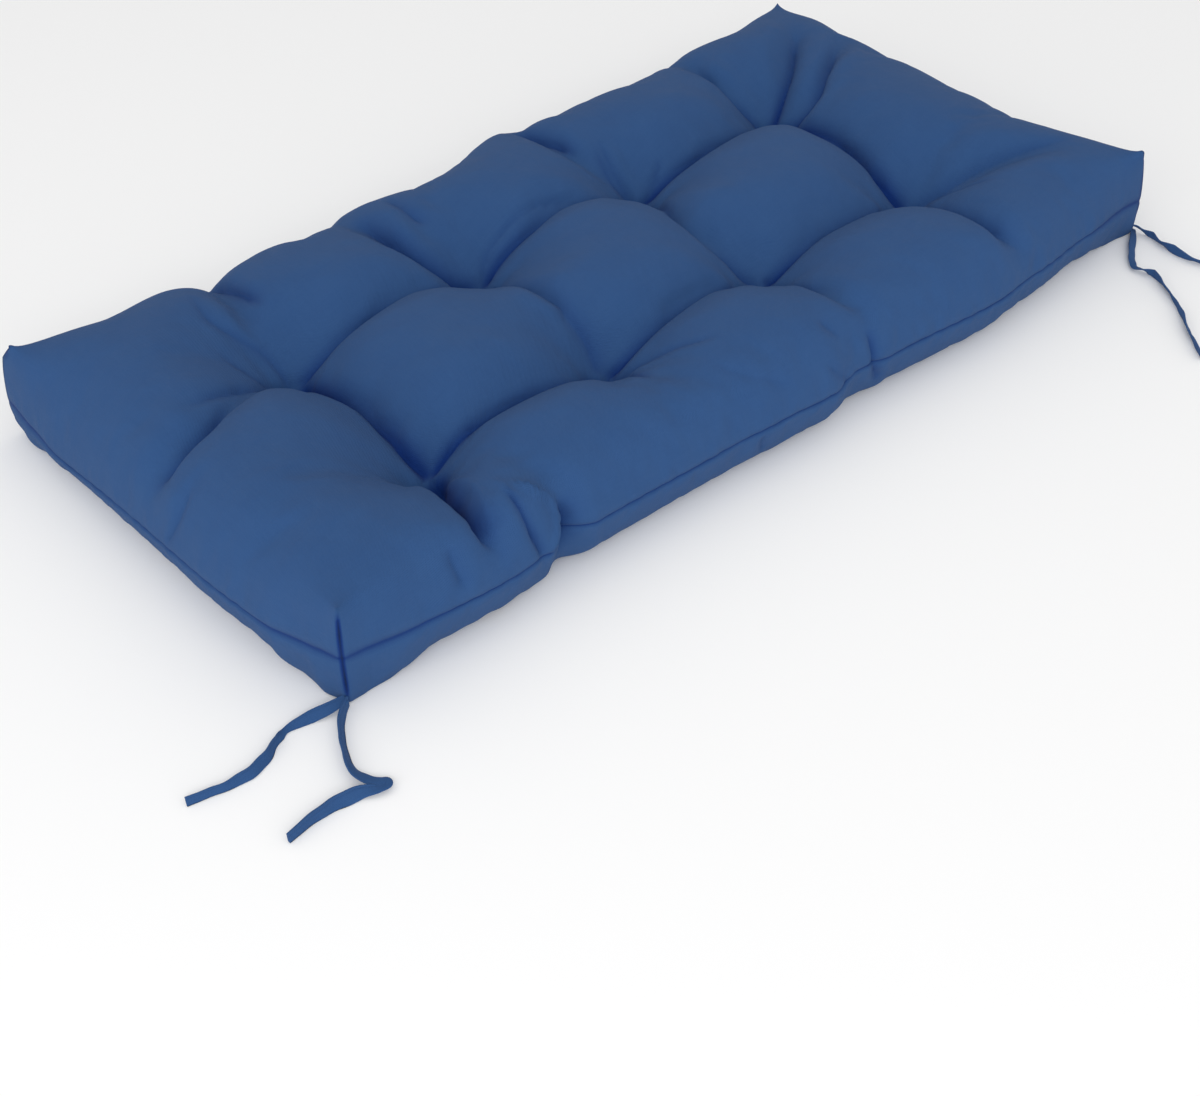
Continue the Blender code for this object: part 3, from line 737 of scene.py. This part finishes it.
# creases pulled crisp in the filled cover: depth, width on the crisp side, width on the soft side,
# roll of the crisp edge, painted shade, and a route with its crisp side on the right. A name is a tuft,
# two numbers are a place on the top, three a place on a side.
creases = {
    "back1ToFront1": (0.009, 0.008, 0.022, 0.001, 1.6, (
        "back1", (-0.318, 0.035), (-0.315, -0.010), (-0.316, -0.060), "front1")),
    "back4ToFront4": (0.008, 0.008, 0.020, 0.001, 1.5, (
        "back4", (0.319, 0.050), (0.314, -0.005), (0.302, -0.055), "front4")),
    "front1ToFront2": (0.007, 0.007, 0.012, 0.001, 1.3, (
        "front1", (-0.287, -0.112), (-0.222, -0.111), (-0.162, -0.113), "front2")),
    "front2ToFront3": (0.007, 0.007, 0.012, 0.001, 1.2, (
        "front2", (-0.082, -0.113), (-0.022, -0.109), (0.033, -0.108), "front3")),
    "front3ToFront4": (0.007, 0.007, 0.012, 0.001, 1.2, (
        "front3", (0.123, -0.107), (0.188, -0.104), (0.248, -0.106), "front4")),
    "back1ToBack2": (0.006, 0.007, 0.012, 0.001, 0.9, (
        "back1", (-0.287, 0.067), (-0.222, 0.072), (-0.162, 0.070), "back2")),
    "back2ToBack3": (0.007, 0.007, 0.014, 0.001, 1.1, (
        "back2", (-0.072, 0.080), (-0.002, 0.082), (0.058, 0.078), "back3")),
    "back3ToBack4": (0.007, 0.007, 0.012, 0.001, 1.2, (
        "back3", (0.148, 0.082), (0.208, 0.085), (0.268, 0.088), "back4")),
    "back2ToFront2": (0.004, 0.012, 0.020, 0.000, 0.4, (
        "back2", (-0.108, 0.035), (-0.108, -0.020), (-0.109, -0.070), "front2")),
    "back3ToFront3": (0.005, 0.007, 0.014, 0.001, 0.6, (
        "back3", (0.096, 0.035), (0.072, -0.010), (0.066, -0.050), (0.076, -0.070), "front3")),
    "wedge": (0.016, 0.009, 0.026, 0.002, 2.4, (
        "front1", (-0.337, -0.158), (-0.343, -0.180), (-0.350, -0.207), (-0.355, -0.229),
        (-0.352, -0.243, 0.070))),
    "wedgeEdge": (-0.004, 0.008, 0.008, 0.000, 0.0, (
        (-0.318, -0.136), (-0.322, -0.178), (-0.332, -0.211), (-0.342, -0.236, 0.078))),
    "secondFold": (-0.003, 0.007, 0.007, 0.000, 0.0, (
        (-0.316, -0.185), (-0.314, -0.215), (-0.315, -0.235, 0.083), (-0.314, -0.250, 0.059))),
    "pleatEdge": (-0.005, 0.006, 0.008, 0.000, 0.0, (
        (-0.315, -0.200), (-0.295, -0.222), (-0.284, -0.232, 0.076), (-0.288, -0.241, 0.062),
        (-0.300, -0.249, 0.047), (-0.309, -0.251, 0.034))),
    "pleat": (0.010, 0.006, 0.020, 0.001, 1.4, (
        (-0.282, -0.232, 0.076), (-0.279, -0.240, 0.060), (-0.281, -0.243, 0.044),
        (-0.291, -0.246, 0.028), (-0.302, -0.246, 0.014))),
    "besidePleat": (0.006, 0.005, 0.009, 0.001, 1.3, (
        (-0.317, -0.211), (-0.317, -0.233, 0.086), (-0.317, -0.244, 0.072), (-0.313, -0.251, 0.053),
        (-0.310, -0.251, 0.039))),
    "rightPleat": (0.004, 0.006, 0.012, 0.001, 1.0, (
        (0.079, -0.240, 0.078), (0.078, -0.250, 0.062), (0.078, -0.252, 0.046), (0.084, -0.252, 0.030),
        (0.090, -0.248, 0.016))),
    "leftOfBack1": (0.004, 0.006, 0.010, 0.001, 0.5, (
        (-0.447, 0.040), (-0.417, 0.045), (-0.387, 0.053), (-0.357, 0.062), "back1")),
    "leftEnd": (0.005, 0.006, 0.011, 0.002, 1.2, (
        (-0.510, -0.003, 0.074), (-0.484, -0.000), (-0.460, 0.008), (-0.439, 0.015), (-0.407, 0.034))),
    "leftStep": (0.004, 0.008, 0.012, 0.001, 0.2, (
        (-0.491, -0.035), (-0.507, -0.041, 0.083), (-0.519, -0.040, 0.062), (-0.522, -0.031, 0.044))),
    "fanUp": (0.003, 0.010, 0.010, 0.001, 0.3, (
        "back1", (-0.326, 0.098), (-0.339, 0.118), (-0.353, 0.145), (-0.347, 0.184))),
    "fanSmall": (0.003, 0.008, 0.010, 0.001, 0.3, (
        "back1", (-0.350, 0.076), (-0.360, 0.088), (-0.369, 0.108))),
    "behindBack1": (0.007, 0.010, 0.018, 0.002, 1.0, (
        (-0.306, 0.221), (-0.307, 0.184), (-0.306, 0.159), (-0.300, 0.134))),
    "behindBack2": (0.008, 0.010, 0.026, 0.002, 1.1, (
        (-0.156, 0.201), (-0.152, 0.164), (-0.147, 0.128), (-0.134, 0.098), "back2")),
    "secondBehindBack2": (0.005, 0.010, 0.018, 0.001, 0.5, (
        (-0.116, 0.201), (-0.114, 0.159), (-0.108, 0.140))),
    "behindBack3": (0.007, 0.008, 0.018, 0.002, 1.2, (
        (0.071, 0.229), (0.075, 0.213), (0.080, 0.184), (0.089, 0.150))),
    "fanBack3": (0.003, 0.007, 0.009, 0.001, 0.4, (
        "back3", (0.104, 0.102), (0.102, 0.118), (0.106, 0.145))),
    "secondFanBack3": (0.003, 0.006, 0.008, 0.001, 0.3, (
        "back3", (0.110, 0.120), (0.116, 0.151))),
    "rightFanBack3": (0.003, 0.007, 0.008, 0.001, 0.3, (
        "back3", (0.140, 0.092), (0.158, 0.102))),
    "upFromBack4": (0.007, 0.008, 0.012, 0.002, 1.2, (
        "back4", (0.340, 0.108), (0.363, 0.121), (0.390, 0.138), (0.430, 0.169))),
    "rightFromBack4": (0.006, 0.009, 0.014, 0.002, 1.0, (
        "back4", (0.340, 0.072), (0.368, 0.078), (0.407, 0.099), (0.439, 0.118))),
    "behindBack4": (0.006, 0.008, 0.014, 0.002, 0.6, (
        "back4", (0.306, 0.120), (0.299, 0.143), (0.299, 0.171), (0.305, 0.201))),
    "outerArc": (0.003, 0.006, 0.008, 0.001, 0.3, (
        "back2", (-0.084, 0.092), (-0.061, 0.095), (-0.025, 0.097), (0.003, 0.094), (0.043, 0.087))),
    "secondFront2": (0.003, 0.006, 0.008, 0.001, 0.4, (
        "front2", (-0.098, -0.138), (-0.084, -0.155), (-0.067, -0.177), (-0.048, -0.188))),
    "front2Wedge": (0.005, 0.008, 0.014, 0.001, 0.9, (
        "front2", (-0.120, -0.145), (-0.128, -0.177))),
    "front3Wedge": (0.005, 0.007, 0.014, 0.001, 0.9, (
        "front3", (0.086, -0.140), (0.083, -0.165), (0.082, -0.190))),
    "front4Wedge": (0.008, 0.009, 0.022, 0.002, 1.3, (
        "front4", (0.285, -0.150), (0.279, -0.196), (0.280, -0.226), (0.285, -0.247, 0.082))),
    "rightOfFront4": (0.004, 0.008, 0.012, 0.001, 0.3, (
        "front4", (0.312, -0.112), (0.333, -0.130), (0.368, -0.144), (0.410, -0.163), (0.457, -0.183))),
    "secondRightOfFront4": (0.003, 0.008, 0.010, 0.001, 0.3, (
        "front4", (0.321, -0.127), (0.329, -0.152), (0.337, -0.180))),
    "dimpleNearFront": (0.004, 0.012, 0.014, 0.000, 0.2, (
        (-0.389, -0.229), (-0.390, -0.247, 0.070), (-0.387, -0.251, 0.055))),
    "dimpleFront3": (0.003, 0.010, 0.010, 0.000, 0.2, (
        (0.034, -0.222), (0.041, -0.232), (0.046, -0.239, 0.080))),
    "lowDimpleFront3": (0.003, 0.010, 0.010, 0.000, 0.2, (
        (0.017, -0.252, 0.075), (0.025, -0.257, 0.063), (0.046, -0.252, 0.041))),
    "frontMiddle": (0.002, 0.012, 0.012, 0.000, 0.1, (
        (-0.080, -0.202), (-0.072, -0.223), (-0.044, -0.244, 0.082), (-0.017, -0.255, 0.067))),
    "uprightFold": (0.003, 0.006, 0.010, 0.001, 0.4, (
        (-0.066, -0.257, 0.042), (-0.065, -0.256, 0.030), (-0.060, -0.252, 0.016))),
}
creaseFinish = {
    "steps": 6,  # points from one place of a route to the next
    "tuftFade": 0.09,  # share of a crease over which it fades at a tuft
    "freeFade": 0.32,  # and at a free end
    "endShare": 0.15,  # about how far into the fade its end lies
    "nearTuft": 0.025,
    "tipWidth": 0.45,
    "sharp": 1.6,  # how narrow a crease's bottom is
    "gather": 1.35,  # how strongly the cloth's points gather at a crease
    "lipAt": 1.9,  # middle of the roll, in crisp widths
    "lipWide": 1.1,
    "shadeCrisp": 0.45,  # how far a crease's shade reaches, in its widths
    "shadeSoft": 0.55,
    "awayShade": 0.5,  # how strong it is away from the tufts
    "hubReach": 0.055,
}


def seat(piece, place):
    # the nearest place on the cover: straight down for two numbers
    place = spotOf(place)
    spot = placed(*place)
    if len(place) == 2:
        return piece.ray_cast((spot[0], spot[1], 1.0), (0.0, 0.0, -1.0))[1]
    return piece.closest_point_on_mesh(spot)[1]


def seatedRoute(piece, places):
    # a crease's route on the cover, with the way out of the cover at each point
    rough = smoothRoute([tuple(seat(piece, place)) for place in places], creaseFinish["steps"])
    points = []
    normals = []
    for place in rough:
        _, point, normal, _ = piece.closest_point_on_mesh(place)
        points.append(point)
        normals.append(normal)
    normals = np.array(normals)
    for _ in range(4):
        normals[1:-1] = (normals[:-2] + normals[1:-1] + normals[2:]) / 3.0
    normals /= np.linalg.norm(normals, axis=1, keepdims=True)
    return np.array(points), normals


def nearRoute(points, route, normals):
    # distance sideways from the route, positive on its right, the share along it and both directions
    lengths = np.linalg.norm(np.diff(route, axis=0), axis=1)
    away = np.full(len(points), np.inf)
    share = np.zeros(len(points))
    sideways = np.zeros_like(points)
    outward = np.zeros_like(points)
    gone = 0.0
    for index, length in enumerate(lengths):
        if length < 1e-6:
            continue
        way = (route[index + 1] - route[index]) / length
        offset = points - route[index]
        t = np.clip(offset @ way, 0.0, length)
        offset = offset - t[:, None] * way
        mix = (t / length)[:, None]
        out = normals[index] * (1.0 - mix) + normals[index + 1] * mix
        right = np.cross(way, out)
        right /= np.linalg.norm(right, axis=1, keepdims=True)
        distance = np.linalg.norm(offset, axis=1)
        closer = distance < np.abs(away)
        away = np.where(closer, np.copysign(distance, np.einsum("ij,ij->i", offset, right)), away)
        share = np.where(closer, (gone + t) / lengths.sum(), share)
        sideways = np.where(closer[:, None], right, sideways)
        outward = np.where(closer[:, None], out, outward)
        gone += length
    return away, share, sideways, outward


def fadeAt(end, share):
    # a crease runs on into a tuft and fades out slowly at a free end
    gap = min(math.dist(end[:2], placed(x, y)[:2]) for x, y in tufts.values())
    fade = creaseFinish["tuftFade"] if gap < creaseFinish["nearTuft"] else creaseFinish["freeFade"]
    return ease(share / fade + creaseFinish["endShare"])


# the pinch at each tuft
pinch = {
    "depth": 0.015,
    "radius": 0.036,
    "shift": (-0.012, -0.012),
    "pucker": 0.0016,
    "puckerReach": 0.034,
    "puckerStart": 0.014,
    "puckers": ((7, 1.7, 1.0), (11, 2.3, 0.7)),  # how many, turn from tuft to tuft, share
}


def pinchTufts(piece):
    # draws the cover down round each tuft, with small folds that run out from it
    points = pointsOf(piece)
    above = gridOf(piece)[:, 2] > 0.5
    drop = np.zeros(len(points))
    for number, (x, y) in enumerate(tufts.values()):
        x, y, _ = placed(x + pinch["shift"][0], y + pinch["shift"][1])
        away = np.hypot(points[:, 0] - x, points[:, 1] - y)
        angle = np.arctan2(points[:, 1] - y, points[:, 0] - x)
        drop += pinch["depth"] * (1.0 - np.sin(np.clip(away / pinch["radius"], 0.0, 1.0) * math.pi / 2))
        ripple = 0.0
        for count, turn, share in pinch["puckers"]:
            ripple = ripple + share * np.cos(count * angle + turn * number)
        strength = ease(away / pinch["puckerStart"]) * np.exp(-(away / pinch["puckerReach"]) ** 2)
        drop += pinch["pucker"] * ripple * strength
    points[:, 2] -= drop * above
    setPoints(piece, points)


def pullCreases(piece):
    # carves each crease, gathers the cloth into it, rolls its crisp edge and paints shade along it into the
    # shade attribute
    points = pointsOf(piece)
    shade = np.zeros(len(points))
    move = np.zeros_like(points)
    hub = np.zeros(len(points))
    for x, y in tufts.values():
        hub = np.maximum(hub, np.exp(-(awayFrom(points, x, y) / creaseFinish["hubReach"]) ** 2))
    atHub = creaseFinish["awayShade"] + (1.0 - creaseFinish["awayShade"]) * hub
    for depth, crisp, soft, lip, dark, places in creases.values():
        route, normals = seatedRoute(piece, places)
        reach = 4.0 * max(crisp, soft)
        inside = np.all((points > route.min(axis=0) - reach) & (points < route.max(axis=0) + reach), axis=1)
        chosen = np.nonzero(inside)[0]
        away, share, sideways, outward = nearRoute(points[chosen], route, normals)
        along = fadeAt(route[0], share) * fadeAt(route[-1], 1.0 - share)
        taper = creaseFinish["tipWidth"] + (1.0 - creaseFinish["tipWidth"]) * along
        width = np.where(away > 0.0, crisp, soft) * taper
        groove = np.clip(1.0 - np.abs(away) / width, 0.0, 1.0) ** creaseFinish["sharp"]
        roll = np.exp(-((away / crisp - creaseFinish["lipAt"]) / creaseFinish["lipWide"]) ** 2)
        push = ((lip * roll - depth * groove) * along)[:, None] * outward
        near = np.clip(np.abs(away) / width, 0.0, 1.0)
        gather = (near ** creaseFinish["gather"] - near) * width * np.sign(away) * along
        push += gather[:, None] * sideways
        push[points[chosen][:, 2] < form["flatBelow"]] = 0.0
        move[chosen] += push
        dim = np.where(away > 0.0, crisp * creaseFinish["shadeCrisp"], soft * creaseFinish["shadeSoft"])
        darkness = np.minimum(dark * along * atHub[chosen] * np.exp(-(away / dim) ** 2), 1.0)
        shade[chosen] = np.maximum(shade[chosen], darkness)
    points = points + move
    points[:, 2] = np.maximum(points[:, 2], 0.0)
    setPoints(piece, points)
    keep = piece.data.attributes.new("shade", "FLOAT", "POINT")
    keep.data.foreach_set("value", shade.astype(np.float32))


# the corners, where the rims of the sides run out into the upright darts
cornerFinish = {
    "full": 0.035,  # smoothed fully this near to a corner
    "reach": 0.100,
    "rounds": 70,
    "below": 0.35,  # and down to this row of the grid
    "atDart": 0.9999,  # points further out than this are on the dart
    "tipAbove": 0.6,
    "atTip": 0.03,  # share of the smoothing at the dart's top
    "dartDepth": 0.0025,
    "dartWidth": 0.0032,
    "dartFoot": 0.016,  # it fades out over this height
    "dartTop": (0.004, 0.006),  # and from this far under its top, over this height
    # painted shadow down each dart's groove, as a shade of 2
    "dartShade": 2.0,
}


def relax(piece, weights, rounds):
    # smooths the cover where the weights are above 0
    pairs = np.empty(len(piece.data.edges) * 2, dtype=int)
    piece.data.edges.foreach_get("vertices", pairs)
    first, second = pairs.reshape(-1, 2).T
    busy = (weights[first] > 0.0) | (weights[second] > 0.0)
    first, second = first[busy], second[busy]
    points = pointsOf(piece)
    count = np.bincount(first, minlength=len(points)) + np.bincount(second, minlength=len(points))
    for _ in range(rounds):
        mean = np.empty_like(points)
        for axis in range(3):
            total = np.bincount(first, points[second, axis], len(points))
            total += np.bincount(second, points[first, axis], len(points))
            mean[:, axis] = total / np.maximum(count, 1)
        points += 0.5 * weights[:, None] * (mean - points)
    setPoints(piece, points)


def softenCorners(piece):
    # rounds the rims near each corner and leaves the dart as it is
    points = pointsOf(piece)
    grid = gridOf(piece)
    weights = np.zeros(len(points))
    full = cornerFinish["full"]
    for x, y, _, _ in corners.values():
        share = (awayFrom(points, x, y) - full) / (cornerFinish["reach"] - full)
        weights = np.maximum(weights, 1.0 - ease(share))
    weights *= ease((grid[:, 2] + cornerFinish["below"]) / cornerFinish["below"])
    atDart = np.all(np.abs(grid[:, :2]) > cornerFinish["atDart"], axis=1)
    weights[atDart] = np.where(grid[atDart, 2] > cornerFinish["tipAbove"], cornerFinish["atTip"], 0.0)
    weights[isLying(points)] = 0.0
    relax(piece, weights, cornerFinish["rounds"])


# the seam round the middle of the sides
seamFinish = {
    "depth": 0.0022,
    "width": 0.05,  # in the grid's rows
    "pucker": 0.0007,
    "puckerAt": 0.16,  # the row that it is strongest on, above and below the seam
    "puckerWide": 0.12,
    "puckers": ((0.0130, 0.3), (0.0187, 1.9), (0.0290, 4.1)),  # length, start
    "halfSize": (0.5, 0.24),  # of the cushion
    "shade": 0.85,
    "shadeWidth": 0.022,
    "atDart": 0.15,  # what is left of the groove at a dart
    "dartReach": 0.08,
}


def sewSeams(piece):
    # pulls in the seam with its puckers, and the darts, and paints shade along both
    points = pointsOf(piece)
    grid = gridOf(piece)
    normals = normalsOf(piece)
    shade = np.empty(len(points))
    piece.data.attributes["shade"].data.foreach_get("value", shade)
    height = np.abs(grid[:, 2])
    onSide = height < block["rim"]
    along = grid[:, 0] * seamFinish["halfSize"][0] + grid[:, 1] * seamFinish["halfSize"][1]
    ripple = np.zeros(len(points))
    for length, start in seamFinish["puckers"]:
        ripple += np.sin(along / length * 2 * math.pi + start) / 3.0
    groove = np.clip(1.0 - height / seamFinish["width"], 0.0, 1.0)
    bulge = np.exp(-((height - seamFinish["puckerAt"]) / seamFinish["puckerWide"]) ** 2)
    fromDart = 1.0 - np.minimum(np.abs(grid[:, 0]), np.abs(grid[:, 1]))
    calm = seamFinish["atDart"] + (1.0 - seamFinish["atDart"]) * ease(fromDart / seamFinish["dartReach"])
    groove *= calm
    bulge *= calm
    push = seamFinish["pucker"] * bulge * (1.0 + ripple) - seamFinish["depth"] * groove
    points += (push * onSide)[:, None] * normals
    # painted shade: a darker line along the seam's groove
    line = np.exp(-(grid[:, 2] / seamFinish["shadeWidth"]) ** 2)
    shade = np.maximum(shade, seamFinish["shade"] * line * onSide)
    for x, y, top, _ in corners.values():
        outX, outY = math.copysign(math.sqrt(0.5), x), math.copysign(math.sqrt(0.5), y)
        under, fade = cornerFinish["dartTop"]
        upTo = ease(points[:, 2] / cornerFinish["dartFoot"])
        upTo *= 1.0 - ease((points[:, 2] - top + under) / fade)
        dart = np.clip(1.0 - awayFrom(points, x, y) / cornerFinish["dartWidth"], 0.0, 1.0) * upTo
        points -= (cornerFinish["dartDepth"] * dart)[:, None] * np.array((outX, outY, 0.0))
        # painted shadow: a dark line down each dart's groove
        shade = np.maximum(shade, cornerFinish["dartShade"] * dart)
    points[:, 2] = np.maximum(points[:, 2], 0.0)
    setPoints(piece, points)
    piece.data.attributes["shade"].data.foreach_set("value", shade.astype(np.float32))


def layCloth(piece):
    # the weave's directions on each panel, in metres
    points = pointsOf(piece)
    grid = gridOf(piece)
    corner = np.empty(len(piece.data.loops), dtype=int)
    piece.data.loops.foreach_get("vertex_index", corner)
    panel = np.repeat(grid[corner].reshape(-1, 4, 3).mean(axis=1), 4, axis=0)
    place = points[corner]
    onSide = np.abs(panel[:, 2]) < block["rim"]
    alongY = onSide & (np.abs(panel[:, 0]) > block["rim"])
    across = np.where(alongY, place[:, 1], place[:, 0])
    upward = np.where(onSide, place[:, 2], place[:, 1])
    layer = piece.data.uv_layers.new(name="cloth")
    layer.data.foreach_set("uv", np.stack((across, upward), axis=1).astype(np.float32).ravel())


cushion = makeCushion()
print("cushion shaped,", len(cushion.data.polygons), "faces")
fillCover(cushion)
print("cover filled")

finer = cushion.modifiers.new("finer", "SUBSURF")
finer.levels = 1
finer.render_levels = 1
applyAll(cushion)
softenCorners(cushion)
pinchTufts(cushion)
pullCreases(cushion)
print("creases pulled")
sewSeams(cushion)
layCloth(cushion)
print("seams sewn")
makeActive(cushion)
bpy.ops.object.shade_smooth()
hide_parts("cushion")
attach(cushion, "root")
print("cushion finished,", len(cushion.data.polygons), "faces")


# materials
class Wire:
    # an output socket; arithmetic on it adds Math nodes
    def __init__(self, recipe, socket):
        self.recipe = recipe
        self.socket = socket

    def maths(self, operation, first, second):
        return self.recipe.add("ShaderNodeMath", {"operation": operation}, {0: first, 1: second})

    def __add__(self, other):
        return self.maths("ADD", self, other)

    def __radd__(self, other):
        return self.maths("ADD", other, self)

    def __sub__(self, other):
        return self.maths("SUBTRACT", self, other)

    def __rsub__(self, other):
        return self.maths("SUBTRACT", other, self)

    def __mul__(self, other):
        return self.maths("MULTIPLY", self, other)

    def __rmul__(self, other):
        return self.maths("MULTIPLY", other, self)

    def sine(self):
        return self.maths("SINE", self, 0.0)


class Recipe:
    # a material's nodes
    def __init__(self, name):
        self.material = bpy.data.materials.new(name)
        self.material.use_nodes = True
        self.tree = self.material.node_tree
        self.shader = self.tree.nodes["Principled BSDF"]

    def add(self, kind, settings, sockets, output=0):
        node = self.tree.nodes.new(kind)
        for key, value in settings.items():
            setattr(node, key, value)
        for key, value in sockets.items():
            self.feed(node.inputs[key], value)
        return Wire(self, node.outputs[output])

    def noise(self, place, scale, detail):
        return self.add("ShaderNodeTexNoise", {}, {"Vector": place, "Scale": scale, "Detail": detail})

    def mix(self, share, first, second):
        settings = {"data_type": "RGBA", "clamp_factor": True}
        return self.add("ShaderNodeMix", settings, {0: share, 6: first, 7: second}, 2)

    def feed(self, socket, value):
        if isinstance(value, Wire):
            self.tree.links.new(value.socket, socket)
        else:
            socket.default_value = value


clothLook = {
    "colour": (0.0250, 0.0745, 0.203, 1.0),
    "paleColour": (0.0350, 0.0930, 0.229, 1.0),
    "creaseShadeColour": (0.003, 0.026, 0.150, 1.0),  # painted crease shade, where the shade is 1
    "dartShadowColour": (0.003, 0.012, 0.045, 1.0),  # painted shadow in the dart grooves, where the shade is 2
    "roughness": 0.85,
    "specular": 0.12,
    "sheen": 0.03,
    "sheenRoughness": 0.5,
    "thread": 0.0007,  # from one thread to the next
    "threadHeight": 0.00015,
    "slub": 0.30,  # share of the paler colour in uneven threads
    "slubAcross": 700.0,
    "slubAlong": 25.0,
    "mottle": 0.45,
    "mottleScale": 38.0,
    "rumpleScale": 95.0,
    "rumpleHeight": 0.0007,
    "wrinkleScale": 28.0,
    "wrinkleHeight": 0.0035,
}


def clothMaterial(name, creased):
    # plain weave of slightly uneven threads, with painted shade in the creases, seams and darts
    recipe = Recipe(name)
    coordinates = recipe.add("ShaderNodeTexCoord", {}, {}, "Object")
    lie = recipe.add("ShaderNodeUVMap", {"uv_map": "cloth"}, {}) if creased else coordinates
    split = recipe.add("ShaderNodeSeparateXYZ", {}, {0: lie})
    across = split
    upward = Wire(recipe, split.socket.node.outputs[1])
    step = math.pi / clothLook["thread"]
    weave = (across * step).sine() * (upward * step).sine()
    slubs = []
    stretch = (clothLook["slubAcross"], clothLook["slubAlong"])
    for stretchAcross, stretchUp in (stretch, stretch[::-1]):
        spot = recipe.add("ShaderNodeCombineXYZ", {}, {0: across * stretchAcross, 1: upward * stretchUp})
        slubs.append(recipe.noise(spot, 1.0, 1.0))
    slub = (slubs[0] + slubs[1]) * clothLook["slub"]
    mottle = recipe.noise(coordinates, clothLook["mottleScale"], 4.0)
    pale = slub + (mottle - 0.5) * clothLook["mottle"]
    colour = recipe.mix(pale, clothLook["colour"], clothLook["paleColour"])
    if creased:
        # painted shade: the shade attribute darkens the blue in the creases and seams, darkest in the dart
        # grooves
        shade = recipe.add("ShaderNodeAttribute", {"attribute_name": "shade"}, {}, "Fac")
        colour = recipe.mix(shade, colour, clothLook["creaseShadeColour"])
        colour = recipe.mix(shade - 1.0, colour, clothLook["dartShadowColour"])
    rumple = recipe.noise(coordinates, clothLook["rumpleScale"], 2.0)
    wrinkle = recipe.noise(coordinates, clothLook["wrinkleScale"], 1.0)
    height = weave * clothLook["threadHeight"] + rumple * clothLook["rumpleHeight"]
    height = height + wrinkle * clothLook["wrinkleHeight"]
    bump = recipe.add("ShaderNodeBump", {}, {"Strength": 1.0, "Distance": 1.0, "Height": height})
    finish = {
        "Normal": bump,
        "Base Color": colour,
        "Roughness": clothLook["roughness"],
        "Specular IOR Level": clothLook["specular"],
        "Sheen Weight": clothLook["sheen"],
        "Sheen Roughness": clothLook["sheenRoughness"],
    }
    for key, value in finish.items():
        recipe.feed(recipe.shader.inputs[key], value)
    return recipe.material


def dress(piece, material):
    piece.data.materials.clear()
    piece.data.materials.append(material)


dress(cushion, clothMaterial("coverCloth", True))
tieCloth = clothMaterial("tieCloth", False)
for strip in ties:
    dress(strip, tieCloth)
print("materials made")

# floor and light
studio = {
    "floorSize": 14.0,
    "floorAt": -0.0004,  # just under the cushion
    "floorColour": (0.93, 0.93, 0.93, 1.0),
    "floorRoughness": 0.9,
    "sky": 0.76,
}

# soft lamps: place, power and size
lamps = {
    "leftLamp": ((-3.2, -0.9, 1.1), 22.0, 2.4),
    "frontLamp": ((-0.6, -3.4, 1.3), 12.0, 2.6),
    "viewerLamp": ((-3.2, -3.8, 3.4), 100.0, 2.4),
}


def addStudio():
    deselectAll()
    bpy.ops.mesh.primitive_plane_add(size=studio["floorSize"], location=(0.0, 0.0, studio["floorAt"]))
    floor = bpy.context.object
    floor.name = "floor"
    recipe = Recipe("paleFloor")
    recipe.feed(recipe.shader.inputs["Base Color"], studio["floorColour"])
    recipe.feed(recipe.shader.inputs["Roughness"], studio["floorRoughness"])
    dress(floor, recipe.material)
    world = bpy.data.worlds.new("softRoom")
    bpy.context.scene.world = world
    world.use_nodes = True
    background = world.node_tree.nodes["Background"]
    background.inputs["Color"].default_value = (1.0, 1.0, 1.0, 1.0)
    background.inputs["Strength"].default_value = studio["sky"]
    for name, (place, power, size) in lamps.items():
        bpy.ops.object.light_add(type="AREA", location=place)
        lamp = bpy.context.object
        lamp.name = name
        lamp.data.energy = power
        lamp.data.size = size
        lamp.rotation_euler = (-Vector(place)).to_track_quat("-Z", "Y").to_euler()
    bpy.context.scene.view_settings.view_transform = "Standard"


addStudio()
print("studio lit")
